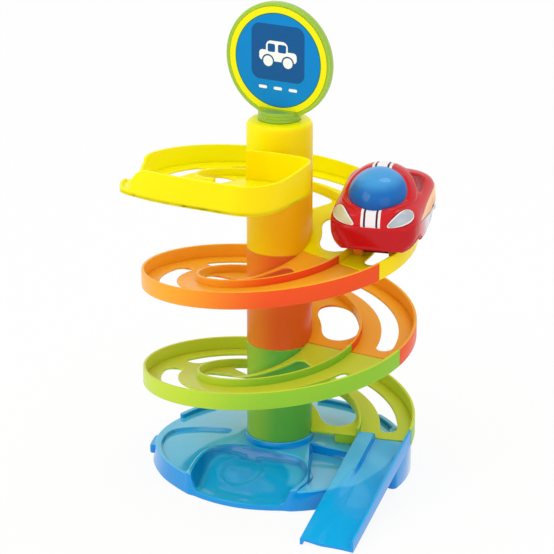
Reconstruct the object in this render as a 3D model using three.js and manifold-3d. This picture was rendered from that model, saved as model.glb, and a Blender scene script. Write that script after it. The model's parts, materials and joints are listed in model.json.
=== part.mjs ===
// A toy car park: a spiral of three plugged track sections on a round base, and one car.
// Millimetres and degrees. +Z is up, the open side of the parking bay faces -Y,
// and the origin is on the column's axis, on the ground.
import * as THREE from 'three';
import * as BufferGeometryUtils from 'three/addons/utils/BufferGeometryUtils.js';
import Module from 'manifold-3d';

const wasm = await Module();
wasm.setup();

// Driving dimensions

const fit = {
  clearance: 0.3, // between pieces that touch
  press: 0.05, // round a pressed pin
  overrun: 6, // how far a cutting shape reaches past what it cuts
};

const column = {
  radius: 28.5,
  wall: 2.5,
  spigotHeight: 10,
  seamHeight: 31.5, // lowest seam, between the base's hub and the lower section
  topHeight: 114.7, // tall top piece of the upper section, above its seam
  shoulder: 6, // rounded top edge
};

const track = {
  radius: 120,
  turn: 345, // each section covers this many degrees
  rise: 86.5, // from one section to the next
  wall: 2.6,
  wallHeight: 15.4,
  floorDepth: 11.7, // floor below the top of the outer wall
  floorThickness: 2.2,
  roadWidth: 44.8, // clear, between the inner curb and the outer wall
  curbWall: 2.4,
  curbHeight: 6.8,
  ledgeWidth: 8.5, // helical ledge round the column
  openingCorner: 9.2,
  endBearing: 103, // where the lower section ends, from -Y towards +X
  endMargin: 6, // degrees of whole floor before the spiral's top end
};

const base = {
  radius: 112.8,
  height: 16.8,
  panelDrop: 3, // the front panel lies lower than the rest of the plate
  wall: 2.4,
  lean: 2.4, // the outer wall leans in this much
  bayFloor: 4.8,
  bayTaper: 3.6,
  ridgeWidth: 5.5,
  ridgeHeight: 2,
  dimpleRadius: 24,
  dimpleDepth: 1,
  hubRadius: 30,
  footThickness: 3,
  tabReach: 5.5,
  tabHeight: 12,
};

const ramp = {
  width: 47,
  floorThickness: 2.2,
  wall: 2.4,
  wallHeight: 12,
  wallHeightLow: 8,
  ledgeWidth: 15,
  ledgeHeight: 5.5,
  ledgeHeightLow: 3.9,
  step: 0.9, // its floor lies this much under the track's
  lowShares: [1.002, -1.139], // middle of the low end, in shares of the track's radius
  endTurn: 8.3, // degrees
  endHollow: 3, // the low edge curves in
};

const deck = {
  height: 69.2, // floor above the upper section's seam
  thickness: 3,
  wall: 2.8,
  wallHeight: 22.8,
  lead: 21, // degrees from the spiral's end to the middle of the deck's outline
  besideLift: 6, // how much higher the spiral's wall gets beside the deck
  besideTop: 3.5, // and how far it stands over the deck's floor
};

const sign = {
  radius: 50.4,
  thickness: 6,
  rim: 3.4,
  labelThickness: 0.6,
  neckRadius: 18,
  neckDepth: 14, // in the column's top
  neckHeight: 9, // seen above it
  ribs: 3,
  ribHeight: 0.5,
};

const car = {
  length: 104,
  width: 79,
  height: 59, // of the shell, up to just above the roof
  groundGap: 14.2, // under the shell's edge
  wall: 2,
  wheelBase: 52,
  wheelRadius: 9.5,
  wheelWidth: 7,
  wheelHollow: 2,
  axleRadius: 1.5,
  wheelDishShare: 0.7, // of the wheel's radius
  wheelHubShare: 0.3,
  chassisThickness: 2.4,
  chassisShare: 0.72, // of the car's length
  bracketWidth: 9,
  screwRadius: 2.6,
  screwHead: 1.8,
  screwLength: 10,
  shankShare: 0.5, // of the screw's radius
  screwPlaceShare: 0.1, // of the car's length, ahead of and behind the middle
  turnAbove: 32, // degrees above the upper section's end
};

const roundSides = 32;
const wheelSides = 18;
const pinSides = 12;
const cabinSides = 20;
const trackSteps = 32;
const cornerSteps = 3;

// Maths and solids

const radians = THREE.MathUtils.degToRad;
const degrees = THREE.MathUtils.radToDeg;
const quarter = 90;

// A point at a radius and a bearing, where 0 is -Y and 90 is +X.
function polar(radius, bearing) {
  const angle = radians(bearing);
  return new THREE.Vector2(radius * Math.sin(angle), -radius * Math.cos(angle));
}

function sharePoints(shares, size) {
  return shares.map(([x, y]) => new THREE.Vector2(x * size, y * size));
}

// Indexed triangles as a solid, turned the right way out.
function solidFrom(positions, indices) {
  const corner = (i) => new THREE.Vector3().fromArray(positions, 3 * indices[i]);
  const kept = [];
  let volume = 0;
  for (let i = 0; i < indices.length; i += 3) {
    const [a, b, c] = [indices[i], indices[i + 1], indices[i + 2]];
    if (a === b || b === c || c === a) {
      continue;
    }
    volume += corner(i).dot(corner(i + 1).cross(corner(i + 2)));
    kept.push([a, b, c]);
  }
  const triVerts = new Uint32Array(kept.flatMap(([a, b, c]) => (volume < 0 ? [a, c, b] : [a, b, c])));
  const vertProperties = new Float32Array(positions);
  return new wasm.Manifold(new wasm.Mesh({ numProp: 3, vertProperties, triVerts }));
}

function toSolid(source) {
  const bare = source.index ? source.toNonIndexed() : source.clone();
  bare.deleteAttribute('normal');
  bare.deleteAttribute('uv');
  const merged = BufferGeometryUtils.mergeVertices(bare, 1e-4);
  return solidFrom(Array.from(merged.attributes.position.array), Array.from(merged.index.array));
}

function toGeometry(solid) {
  const mesh = solid.getMesh();
  const geometry = new THREE.BufferGeometry();
  geometry.setAttribute('position', new THREE.BufferAttribute(new Float32Array(mesh.vertProperties), 3));
  geometry.setIndex(new THREE.BufferAttribute(new Uint32Array(mesh.triVerts), 1));
  geometry.computeVertexNormals();
  return geometry;
}

// A solid through a row of stations. A station is an outline and the place of each of its points.
function loft(stations) {
  const count = stations[0].outline.length;
  const positions = [];
  const indices = [];
  for (const { outline, place } of stations) {
    for (const point of outline) {
      positions.push(...place(point).toArray());
    }
  }
  for (let k = 0; k + 1 < stations.length; k += 1) {
    for (let i = 0; i < count; i += 1) {
      const j = (i + 1) % count;
      const [a, b] = [k * count + i, k * count + j];
      indices.push(a, b, b + count, a, b + count, a + count);
    }
  }
  const last = (stations.length - 1) * count;
  const flip = THREE.ShapeUtils.isClockWise(stations[0].outline);
  const cap = (outline, start, back) => {
    for (const [a, b, c] of THREE.ShapeUtils.triangulateShape(outline, [])) {
      const face = back !== flip ? [c, b, a] : [a, b, c];
      indices.push(...face.map((corner) => start + corner));
    }
  };
  cap(stations[0].outline, 0, true);
  cap(stations[stations.length - 1].outline, last, false);
  return solidFrom(positions, indices);
}

function prism(outline, low, high) {
  const level = (z) => ({ outline, place: (p) => new THREE.Vector3(p.x, p.y, z) });
  return loft([level(low), level(high)]);
}

function cylinder(radius, low, high, sides = roundSides) {
  const geometry = new THREE.CylinderGeometry(radius, radius, high - low, sides);
  geometry.rotateX(Math.PI / 2);
  geometry.translate(0, 0, (low + high) / 2);
  return toSolid(geometry);
}

// A closed profile of [radius, height] pairs, turned about the column's axis.
function turned(profile) {
  const points = [...profile, profile[0]].map(([r, z]) => new THREE.Vector2(r, z));
  const geometry = new THREE.LatheGeometry(points, roundSides);
  geometry.rotateX(Math.PI / 2);
  return toSolid(geometry);
}

function ellipsoid(centre, radii, turnAboutX, sides) {
  const geometry = new THREE.SphereGeometry(1, sides, sides / 2);
  geometry.scale(radii.x, radii.y, radii.z);
  geometry.rotateX(radians(turnAboutX));
  geometry.translate(centre.x, centre.y, centre.z);
  return toSolid(geometry);
}

// An outline with every side moved out by a distance. Its points run anticlockwise.
function offsetOutline(outline, distance) {
  const count = outline.length;
  return outline.map((point, i) => {
    const before = point.clone().sub(outline[(i + count - 1) % count]).normalize();
    const after = outline[(i + 1) % count].clone().sub(point).normalize();
    const normal = new THREE.Vector2(before.y + after.y, -before.x - after.x).normalize();
    const stretch = Math.max(0.5, normal.x * after.y - normal.y * after.x);
    return point.clone().addScaledVector(normal, distance / stretch);
  });
}

// A smooth closed curve through the points.
function smoothOutline(points, count) {
  const spread = points.map((p) => new THREE.Vector3(p.x, p.y, 0));
  const curve = new THREE.CatmullRomCurve3(spread, true, 'centripetal');
  return curve.getPoints(count).slice(0, count).map((p) => new THREE.Vector2(p.x, p.y));
}

// A piece of a ring in plan, with rounded corners. Its bearings run from one end to the other.
function ringSector(inner, outer, from, to, corner) {
  const rounding = Math.min(corner, (outer - inner) / 2);
  const points = [];
  const addArc = (radius, start, end) => {
    const steps = Math.max(1, Math.ceil(Math.abs(end - start) / (track.turn / trackSteps)));
    for (let i = 0; i <= steps; i += 1) {
      points.push(polar(radius, start + ((end - start) * i) / steps));
    }
  };
  const addCorner = (radius, bearing, start, end) => {
    for (let i = 0; i <= cornerSteps; i += 1) {
      const outward = polar(rounding, start + ((end - start) * i) / cornerSteps);
      points.push(polar(radius, bearing).add(outward));
    }
  };
  const outerTurn = degrees(Math.asin(rounding / (outer - rounding)));
  const innerTurn = degrees(Math.asin(rounding / (inner + rounding)));
  addArc(outer, from + outerTurn, to - outerTurn);
  addCorner(outer - rounding, to - outerTurn, to - outerTurn, to + quarter);
  addCorner(inner + rounding, to - innerTurn, to + quarter, to - innerTurn + 2 * quarter);
  addArc(inner, to - innerTurn, from + innerTurn);
  addCorner(inner + rounding, from + innerTurn, from + innerTurn - 2 * quarter, from - quarter);
  addCorner(outer - rounding, from + outerTurn, from - quarter, from + outerTurn);
  return points.filter((point, i) => point.distanceTo(points[(i + 1) % points.length]) > fit.press);
}

const toy = new THREE.Group();

function addPiece(parent, name, solid, colour, roughness = 0.25, metalness = 0) {
  const material = new THREE.MeshStandardMaterial({ color: colour, roughness, metalness });
  const mesh = new THREE.Mesh(toGeometry(solid), material);
  mesh.name = name;
  parent.add(mesh);
}

// What follows from the driving dimensions

const roadOuter = track.radius - track.wall;
const roadInner = roadOuter - track.roadWidth;
const curbRadius = roadInner - track.curbWall;
const slotCentreShare = 0.54; // across the road, from its inner edge
const slotWidthShare = 0.335;
const slotInner = roadInner + track.roadWidth * (slotCentreShare - slotWidthShare / 2);
const slotOuter = roadInner + track.roadWidth * (slotCentreShare + slotWidthShare / 2);
const risePerDegree = track.rise / track.turn;
const socketRadius = column.radius - column.wall;
const spigotRadius = socketRadius - fit.clearance;
const plateRadius = column.radius - column.wall / 2;
const ledgeRadius = column.radius + track.ledgeWidth;
const wallTopAtEnd = fit.clearance + track.floorThickness + track.floorDepth;
const sectionTwist = 360 - track.turn;

// The two-lane spiral: floor, outer wall, inner curb and the plate that joins them to the column.
function spiral(seam, endBearing, turnTo, wallRim) {
  const section = (turn) => {
    const wallTop = seam + wallTopAtEnd + risePerDegree * turn;
    const floorTop = wallTop - track.floorDepth;
    const floorBottom = floorTop - track.floorThickness;
    const wallBottom = wallTop - track.wallHeight;
    const curbTop = floorTop + track.curbHeight;
    const lip = Math.max(floorTop + track.floorThickness, wallRim(turn, wallTop));
    return [
      [plateRadius, floorBottom], [roadOuter, floorBottom], [roadOuter, wallBottom],
      [track.radius, wallBottom], [track.radius, lip], [roadOuter, lip],
      [roadOuter, floorTop], [roadInner, floorTop], [roadInner, curbTop],
      [curbRadius, curbTop], [curbRadius, floorTop], [plateRadius, floorTop],
    ].map(([r, z]) => new THREE.Vector2(r, z));
  };
  const steps = Math.ceil((trackSteps * turnTo) / track.turn);
  const stations = [];
  for (let i = 0; i <= steps; i += 1) {
    const turn = (turnTo * i) / steps;
    const inset = i === 0 ? 1 : i === steps ? -1 : 0;
    const place = (point) => {
      const spare = degrees(Math.asin((inset * fit.clearance) / 2 / point.x));
      const spot = polar(point.x, endBearing + turn + spare);
      return new THREE.Vector3(spot.x, spot.y, point.y);
    };
    stations.push({ outline: section(turn), place });
  }
  return loft(stations);
}

// Turns from a section's low end where the slots and the openings inside the curb begin and end.
const slotTurns = [[7, 80], [95, 162], [177, 325]];
const openingTurns = [[12, 68], [90, 146], [180, 315]];

function spiralCuts(seam, endBearing, turnTo) {
  const low = seam - track.wallHeight;
  const high = seam + track.rise + 2 * track.wallHeight;
  const cuts = [];
  const addCut = (inner, outer, turns, corner) => {
    const to = Math.min(turns[1], turnTo - track.endMargin);
    cuts.push(prism(ringSector(inner, outer, endBearing + turns[0], endBearing + to, corner), low, high));
  };
  for (const turns of slotTurns) {
    addCut(slotInner, slotOuter, turns, slotOuter - slotInner);
  }
  for (const turns of openingTurns) {
    addCut(ledgeRadius, curbRadius - fit.clearance, turns, track.openingCorner);
  }
  return cuts;
}

function columnTube(seam, height) {
  const top = seam + height - fit.clearance;
  return turned([
    [column.radius, seam], [column.radius, top], [spigotRadius, top],
    [spigotRadius, top + column.spigotHeight], [spigotRadius - column.wall, top + column.spigotHeight],
    [spigotRadius - column.wall, top - column.wall], [socketRadius, top - 2 * column.wall],
    [socketRadius, seam],
  ]);
}

function columnTop(seam) {
  const top = seam + column.topHeight;
  const bore = sign.neckRadius + fit.clearance;
  const edge = [];
  const shoulderSteps = 3;
  for (let i = 0; i <= shoulderSteps; i += 1) {
    const angle = (Math.PI / 2) * (i / shoulderSteps);
    const reach = column.shoulder * (1 - Math.cos(angle));
    edge.push([column.radius - reach, top - column.shoulder * (1 - Math.sin(angle))]);
  }
  const under = top - column.shoulder;
  return turned([
    [column.radius, seam], ...edge, [bore, top], [bore, under - sign.neckDepth],
    [bore + column.wall, under - sign.neckDepth], [bore + column.wall, under - column.wall],
    [socketRadius, under - 2 * column.wall], [socketRadius, seam],
  ]);
}

function trackSection(index) {
  const seam = column.seamHeight + track.rise * index;
  const endBearing = track.endBearing - sectionTwist * index;
  let solid = spiral(seam, endBearing, track.turn, (turn, wallTop) => wallTop);
  for (const cut of spiralCuts(seam, endBearing, track.turn)) {
    solid = solid.subtract(cut);
  }
  const tubeTop = seam + track.rise - fit.clearance;
  const above = cylinder(column.radius + fit.clearance, tubeTop, tubeTop + column.radius);
  return solid.subtract(above).add(columnTube(seam, track.rise));
}

// Deck outline in shares of the track's radius, anticlockwise from the front wall's left end.
const deckShares = [
  [-0.77, -0.93], [-0.56, -1.035], [-0.31, -1.062], [0, -1.062], [0.24, -1.025], [0.37, -0.93],
  [0.435, -0.77], [0.446, -0.53], [0.44, -0.37], [0.4, -0.29], [0.3, -0.262], [0.06, -0.268],
  [-0.1, -0.3], [-0.2, -0.34], [-0.79, -0.66],
];
const deckWallShares = [[-0.9, -1.2], [0.6, -1.2], [0.6, -0.1], [-0.1, -0.1], [-0.1, -0.75], [-0.74, -0.75]];
const deckSlopeShares = [-0.53, -0.75]; // the front wall slopes down to the floor between these places
const liftTurns = [60, 207]; // the spiral's wall grows higher between these turns
const besideTurn = 214; // and drops to the deck's floor here

function launchDeck(seam, endBearing, deckTurn) {
  const floor = seam + deck.height;
  const outline = sharePoints(deckShares, track.radius);
  const inside = offsetOutline(outline, -deck.wall);
  const under = floor - deck.thickness;
  const walls = prism(outline, under, floor + deck.wallHeight)
    .subtract(prism(inside, under - fit.overrun, floor + deck.wallHeight + fit.overrun));
  const above = floor + 2 * deck.wallHeight;
  const kept = prism(sharePoints(deckWallShares, track.radius), under, above)
    .subtract(deckSlope(floor, above));
  const spiralSide = prism(
    ringSector(fit.overrun, roadOuter, endBearing + deckTurn - quarter, endBearing + deckTurn, fit.clearance),
    under - fit.overrun, floor + fit.overrun,
  );
  const follow = [0, 0, endBearing + deckTurn + deck.lead];
  const slab = prism(outline, under, floor).rotate(follow).subtract(spiralSide);
  return walls.intersect(kept).rotate(follow).add(slab);
}

// What lies above the sloping left end of the front wall.
function deckSlope(floor, above) {
  const [slopeTop, slopeLow] = deckSlopeShares.map((share) => share * track.radius);
  const far = -2 * track.radius;
  const outline = [
    [slopeTop, above], [slopeTop, floor + deck.wallHeight], [slopeLow, floor], [far, floor], [far, above],
  ].map(([x, z]) => new THREE.Vector2(x, z));
  return loft([far, 0].map((y) => ({ outline, place: (p) => new THREE.Vector3(p.x, y, p.y) })));
}

function upperTrack() {
  const seam = column.seamHeight + 2 * track.rise;
  const endBearing = track.endBearing - 2 * sectionTwist;
  const floorAtEnd = seam + wallTopAtEnd - track.floorDepth;
  const deckTurn = (seam + deck.height - floorAtEnd) / risePerDegree;
  const deckFloor = seam + deck.height;
  const wallRim = (turn, wallTop) => {
    const share = Math.min(1, Math.max(0, (turn - liftTurns[0]) / (liftTurns[1] - liftTurns[0])));
    const limit = turn < besideTurn ? deckFloor + deck.besideTop : deckFloor;
    return Math.min(wallTop + deck.besideLift * share, limit);
  };
  let solid = spiral(seam, endBearing, deckTurn, wallRim);
  for (const cut of spiralCuts(seam, endBearing, deckTurn)) {
    solid = solid.subtract(cut);
  }
  const inside = cylinder(plateRadius, seam - fit.overrun, seam + column.topHeight);
  return solid.add(launchDeck(seam, endBearing, deckTurn)).subtract(inside).add(columnTop(seam));
}

// Base outline as bearings and shares of its radius, and shapes on it in shares of its radius.
const baseBearingShares = [
  [-165, 1], [-145, 1], [-125, 0.99], [-105, 1], [-85, 1.01], [-68, 1.01], [-52, 0.975], [-35, 0.945],
  [-12, 0.94], [12, 0.94], [38, 0.94], [62, 0.95], [85, 0.97], [105, 0.99], [125, 1], [150, 1], [175, 1],
];
const bayShares = [
  [-0.25, -1.2], [-0.291, -0.893], [-0.398, -0.561], [-0.429, -0.354], [-0.374, -0.19], [-0.19, -0.134],
  [0.201, -0.19], [0.283, -0.217], [0.35, -0.29], [0.434, -0.493], [0.491, -0.757], [0.529, -0.84],
  [0.56, -1.2],
];
const panelShares = [
  [-0.852, -0.107], [-0.712, -0.03], [-0.523, 0.044], [-0.2, 0.06], [-0.2, -0.1], [-0.45, -0.14],
  [-0.51, -0.35], [-0.475, -0.58], [-0.385, -0.78], [-0.6, -0.63], [-0.76, -0.42], [-0.84, -0.25],
];
const dimpleShare = -0.475;
const tabBearings = [[-75, -58], [-115, -98], [171, 189]];
const pillarBearings = [88, 124];
const pillarShares = [0.869, 1.037]; // inner and outer radius, of the base's radius
const baseRimPoints = 48;

function baseRing(inset) {
  const points = baseBearingShares.map(([bearing, share]) => polar(base.radius * share - inset, bearing));
  return smoothOutline(points, baseRimPoints);
}

function baseShell(inset, low, high) {
  const lean = (base.lean * (high - low)) / base.height;
  const level = (z, extra) => ({
    outline: baseRing(inset + extra),
    place: (p) => new THREE.Vector3(p.x, p.y, z),
  });
  return loft([level(low, 0), level(high, lean)]);
}

function bayRecess(grow, low, high) {
  const outline = sharePoints(bayShares, base.radius);
  const level = (z, extra) => ({
    outline: offsetOutline(outline, grow + extra),
    place: (p) => new THREE.Vector3(p.x, p.y, z),
  });
  return loft([level(low, -base.bayTaper), level(base.height, 0), level(high, 0)]);
}

function baseTray(rampSpace) {
  const plateUnder = base.height - base.panelDrop - base.wall;
  const above = base.height + fit.overrun;
  const tabRoot = base.wall * 2;
  let solid = baseShell(0, 0, base.height);
  const panel = prism(sharePoints(panelShares, base.radius), base.height - base.panelDrop, above);
  const hollow = baseShell(base.wall, -fit.overrun, plateUnder)
    .subtract(bayRecess(base.wall, base.bayFloor - base.wall, above))
    .subtract(cylinder(base.hubRadius, -fit.overrun, above));
  solid = solid.subtract(panel);
  const ridge = bayRecess(base.ridgeWidth, base.height - base.panelDrop, base.height + base.ridgeHeight)
    .intersect(baseShell(base.lean, 0, above));
  solid = solid.add(ridge).subtract(hollow).subtract(bayRecess(0, base.bayFloor, above));
  const dimple = cylinder(base.dimpleRadius, base.bayFloor - base.dimpleDepth, above)
    .translate([0, base.radius * dimpleShare, 0]);
  solid = solid.subtract(dimple);
  for (const [from, to] of tabBearings) {
    const tab = ringSector(base.radius - tabRoot, base.radius + base.tabReach, from, to, base.wall);
    solid = solid.add(prism(tab, base.height - base.tabHeight, base.height - base.wall));
  }
  const pillarTop = column.seamHeight + wallTopAtEnd - track.wallHeight - fit.clearance;
  const [inner, outer] = pillarShares.map((share) => share * base.radius);
  const post = ringSector(inner, outer, ...pillarBearings, base.wall);
  solid = solid.add(prism(post, 0, pillarTop)).subtract(rampSpace);
  return solid.add(hub());
}

function hub() {
  const top = column.seamHeight - fit.clearance;
  const bore = spigotRadius - column.wall;
  return turned([
    [0, 0], [base.hubRadius, 0], [base.hubRadius, top], [spigotRadius, top],
    [spigotRadius, top + column.spigotHeight], [bore, top + column.spigotHeight],
    [bore, base.footThickness], [0, base.footThickness],
  ]);
}

const rampSteps = 6;

function rampLowMiddle() {
  return new THREE.Vector2(...ramp.lowShares).multiplyScalar(track.radius);
}

// The ramp is a section carried from the radial line at the track's end to its low end.
function rampStations(section) {
  const topFloor = column.seamHeight + fit.clearance + track.floorThickness - ramp.step;
  const lowFloor = ramp.floorThickness;
  const outer = track.radius - fit.clearance;
  const spare = degrees((fit.clearance * 1.5) / outer);
  const bearing = track.endBearing - spare;
  const lowMiddle = rampLowMiddle();
  const across = new THREE.Vector2(Math.cos(radians(ramp.endTurn)), Math.sin(radians(ramp.endTurn)));
  const stations = [];
  for (let i = 0; i <= rampSteps; i += 1) {
    const t = i / rampSteps;
    const floor = THREE.MathUtils.lerp(topFloor, lowFloor, t);
    const place = (point) => {
      const high = polar(outer - ramp.width + point.x, bearing);
      const low = lowMiddle.clone().addScaledVector(across, point.x - ramp.width / 2);
      const spot = high.lerp(low, t);
      return new THREE.Vector3(spot.x, spot.y, floor + point.y);
    };
    stations.push({ outline: section(t), place });
  }
  return stations;
}

function rampSection(t) {
  const wallTop = THREE.MathUtils.lerp(ramp.wallHeight, ramp.wallHeightLow, t);
  const ledgeTop = THREE.MathUtils.lerp(ramp.ledgeHeight, ramp.ledgeHeightLow, t);
  const under = -ramp.floorThickness;
  const hollowTop = ledgeTop - ramp.floorThickness;
  return [
    [0, under], [ramp.wall, under], [ramp.wall, hollowTop], [ramp.ledgeWidth - ramp.wall, hollowTop],
    [ramp.ledgeWidth - ramp.wall, under], [ramp.width, under], [ramp.width, wallTop],
    [ramp.width - ramp.wall, wallTop], [ramp.width - ramp.wall, 0], [ramp.ledgeWidth, 0],
    [ramp.ledgeWidth, ledgeTop], [0, ledgeTop],
  ].map(([a, h]) => new THREE.Vector2(a, h));
}

function rampSpaceSection() {
  const gap = fit.clearance;
  const high = track.rise / 2;
  return [
    [-gap, -ramp.floorThickness - gap], [ramp.width + gap, -ramp.floorThickness - gap],
    [ramp.width + gap, high], [-gap, high],
  ].map(([a, h]) => new THREE.Vector2(a, h));
}

function exitRamp() {
  const notch = baseShell(-2 * fit.clearance, -fit.overrun, base.height)
    .add(baseShell(-2 * fit.clearance, base.height, base.height + fit.clearance));
  const end = rampLowMiddle();
  const endCut = cylinder(ramp.width, -fit.overrun, base.height * 2)
    .translate([end.x, end.y - ramp.width + ramp.endHollow / 2, 0]);
  return loft(rampStations(rampSection)).subtract(notch).subtract(endCut);
}

function signHolder() {
  const columnTopHeight = column.seamHeight + 2 * track.rise + column.topHeight;
  const centre = columnTopHeight + sign.radius + fit.clearance * 4;
  const disc = standingDisc(sign.radius, sign.thickness, centre, 0);
  const recessDepth = sign.labelThickness + fit.clearance;
  const recessRadius = sign.radius - sign.rim;
  const front = standingDisc(recessRadius, recessDepth, centre, -(sign.thickness - recessDepth) / 2);
  const back = standingDisc(recessRadius, recessDepth, centre, (sign.thickness - recessDepth) / 2);
  const neckLow = columnTopHeight - column.shoulder - sign.neckDepth + fit.clearance;
  const neckTop = columnTopHeight + sign.neckHeight;
  const ribPitch = (sign.neckHeight - 2 * fit.clearance) / sign.ribs;
  let neck = cylinder(sign.neckRadius, neckLow, neckTop);
  for (let i = 0; i < sign.ribs; i += 1) {
    const low = columnTopHeight + fit.clearance + ribPitch * i;
    neck = neck.add(cylinder(sign.neckRadius + sign.ribHeight, low, low + ribPitch / 2));
  }
  const bore = cylinder(sign.neckRadius - column.wall, neckLow - fit.overrun, columnTopHeight - column.wall);
  const holder = disc.subtract(front).subtract(back).add(neck.subtract(front).subtract(back)).subtract(bore);
  const labelRadius = recessRadius - fit.clearance;
  const labelAway = (sign.thickness - sign.labelThickness) / 2;
  return {
    holder,
    front: standingDisc(labelRadius, sign.labelThickness, centre, -labelAway),
    back: standingDisc(labelRadius, sign.labelThickness, centre, labelAway),
  };
}

// A disc that stands upright and faces -Y.
function standingDisc(radius, thickness, height, y) {
  const geometry = new THREE.CylinderGeometry(radius, radius, thickness, roundSides);
  geometry.translate(0, y, 0);
  return toSolid(geometry).translate([0, 0, height]);
}

// The car, in its own frame: +X ahead, +Y to its left, the ground at zero.

const halfBase = car.wheelBase / 2;
const wheelReach = halfBase + car.wheelRadius;
const flatShare = Math.cos(radians(track.turn / trackSteps / 2)); // the wall is made of flats
const wheelOutside = Math.sqrt((roadOuter * flatShare - fit.clearance) ** 2 - wheelReach ** 2);
const wheelInside = roadInner + fit.clearance;
const carRadius = (wheelOutside + wheelInside) / 2;
const wheelFace = (wheelOutside - wheelInside) / 2 - fit.clearance;
const wheelMiddle = wheelFace - car.wheelWidth / 2;

// Stations along the lower shell: place, half width, bottom, belt and top, as shares of the car's sizes.
const shellShares = [
  [-0.5, 0.25, 0.14, 0.3, 0.4], [-0.481, 0.34, 0.08, 0.3, 0.49], [-0.423, 0.45, 0.02, 0.3, 0.6],
  [-0.298, 0.49, 0, 0.3, 0.67], [-0.096, 0.49, 0, 0.3, 0.68], [0.192, 0.49, 0, 0.3, 0.68],
  [0.337, 0.48, 0, 0.3, 0.67], [0.413, 0.44, 0.01, 0.3, 0.64], [0.466, 0.36, 0.03, 0.3, 0.58],
  [0.5, 0.22, 0.1, 0.3, 0.45],
];
// Points up the side of a station: the width, and the height from bottom (0) by belt (1) to top (2).
const sideShares = [[0.76, 0], [0.9, 0.25], [0.985, 0.7], [1, 1], [0.96, 1.5], [0.86, 1.8], [0.6, 2]];
const openBelowShare = 0.05; // stations with a bottom lower than this are open below
const cabinShares = { along: 0.03, up: 0.437, reach: [0.404, 0.4, 0.542] };
const glassShares = { along: 0.115, up: 0.573, reach: [0.317, 0.354, 0.424] };
const lampShares = { along: 0.409, aside: 0.304, up: 0.497, reach: [0.077, 0.139, 0.085], turn: 22 };

function shellOutline([, halfShare, lowShare, beltShare, topShare], grow, drop) {
  const half = car.width * halfShare + grow;
  const low = car.groundGap + car.height * lowShare - grow;
  const belt = car.groundGap + car.height * beltShare;
  const top = car.groundGap + car.height * topShare + grow;
  const side = sideShares.map(([across, up]) => [
    half * across, up < 1 ? THREE.MathUtils.lerp(low, belt, up) : THREE.MathUtils.lerp(belt, top, up - 1),
  ]);
  if (drop > 0) {
    side.unshift([side[0][0], low - (lowShare > openBelowShare ? fit.clearance : drop)]);
  }
  const mirrored = side.map(([y, z]) => [-y, z]).reverse();
  return [...side, ...mirrored].map(([y, z]) => new THREE.Vector2(y, z));
}

function lowerShell(grow, drop) {
  return loft(shellShares.map((row) => ({
    outline: shellOutline(row, grow, drop),
    place: (p) => new THREE.Vector3(row[0] * (car.length + 2 * grow), p.x, p.y),
  })));
}

function carEllipsoid(shares, grow, side = 0) {
  const centre = new THREE.Vector3(
    car.length * shares.along,
    side * car.width * (shares.aside ?? 0),
    car.groundGap + car.height * shares.up,
  );
  const radii = new THREE.Vector3(
    car.length * shares.reach[0] + grow,
    car.width * shares.reach[1] + grow,
    car.height * shares.reach[2] + grow,
  );
  return ellipsoid(centre, radii, side * (shares.turn ?? 0), side === 0 ? cabinSides : pinSides);
}

function slabBetween(low, high) {
  const reach = car.length;
  return prism([[-reach, -reach], [reach, -reach], [reach, reach], [-reach, reach]]
    .map(([x, y]) => new THREE.Vector2(x, y)), low, high);
}

function carBody() {
  const belowEdge = slabBetween(car.groundGap - car.height, car.groundGap);
  const outer = lowerShell(0, 0).add(carEllipsoid(cabinShares, 0).subtract(belowEdge));
  const inner = lowerShell(-car.wall, car.height / 2).add(carEllipsoid(cabinShares, -car.wall));
  let solid = outer.subtract(inner).subtract(carEllipsoid(glassShares, fit.clearance));
  for (const side of [-1, 1]) {
    solid = solid.subtract(carEllipsoid(lampShares, fit.clearance, side));
    solid = solid.subtract(wheelArch(halfBase, side)).subtract(wheelArch(-halfBase, side));
  }
  return solid;
}

// The space above a wheel, so that the shell clears it.
function wheelArch(along, side) {
  const radius = car.wheelRadius + 3 * fit.clearance;
  const width = car.wheelWidth + 4 * fit.clearance;
  return acrossCylinder(radius, width, along, side * wheelMiddle, car.wheelRadius);
}

function acrossCylinder(radius, width, x, y, z, sides = wheelSides) {
  const geometry = new THREE.CylinderGeometry(radius, radius, width, sides);
  geometry.translate(x, y, z);
  return toSolid(geometry);
}

function carGlass() {
  const keep = slabBetween(car.groundGap + car.height * glassShares.up, car.groundGap + 2 * car.height);
  return carEllipsoid(glassShares, 0).subtract(carEllipsoid(glassShares, -car.wall)).intersect(keep);
}

function box(sizeX, sizeY, low, high, x = 0) {
  const geometry = new THREE.BoxGeometry(sizeX, sizeY, high - low);
  geometry.translate(x, 0, (low + high) / 2);
  return toSolid(geometry);
}

function chassis() {
  const innerWidth = 2 * (wheelMiddle - car.wheelWidth / 2 - 2 * fit.clearance);
  const bracketBottom = car.wheelRadius - car.bracketWidth / 2;
  const top = car.groundGap + car.chassisThickness;
  let solid = box(car.length * car.chassisShare, innerWidth, car.groundGap, top);
  for (const along of [-halfBase, halfBase]) {
    const bracket = box(car.bracketWidth, innerWidth, bracketBottom, car.groundGap, along);
    const holeRadius = car.axleRadius + fit.clearance;
    const hole = acrossCylinder(holeRadius, car.width, along, 0, car.wheelRadius, pinSides);
    solid = solid.add(bracket).subtract(hole);
  }
  for (const x of screwPlaces) {
    const hole = cylinder(shankRadius + fit.clearance, -car.height, car.height, pinSides);
    solid = solid.subtract(hole.translate([x, 0, 0]));
  }
  return solid;
}

const screwPlaces = [car.length * car.screwPlaceShare, -car.length * car.screwPlaceShare];
const shankRadius = car.screwRadius * car.shankShare;

function chassisScrew(x) {
  const headTop = car.groundGap - fit.clearance;
  return cylinder(car.screwRadius, headTop - car.screwHead, headTop, pinSides)
    .add(cylinder(shankRadius, headTop - fit.clearance, headTop + car.screwLength, pinSides))
    .translate([x, 0, 0]);
}

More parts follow.
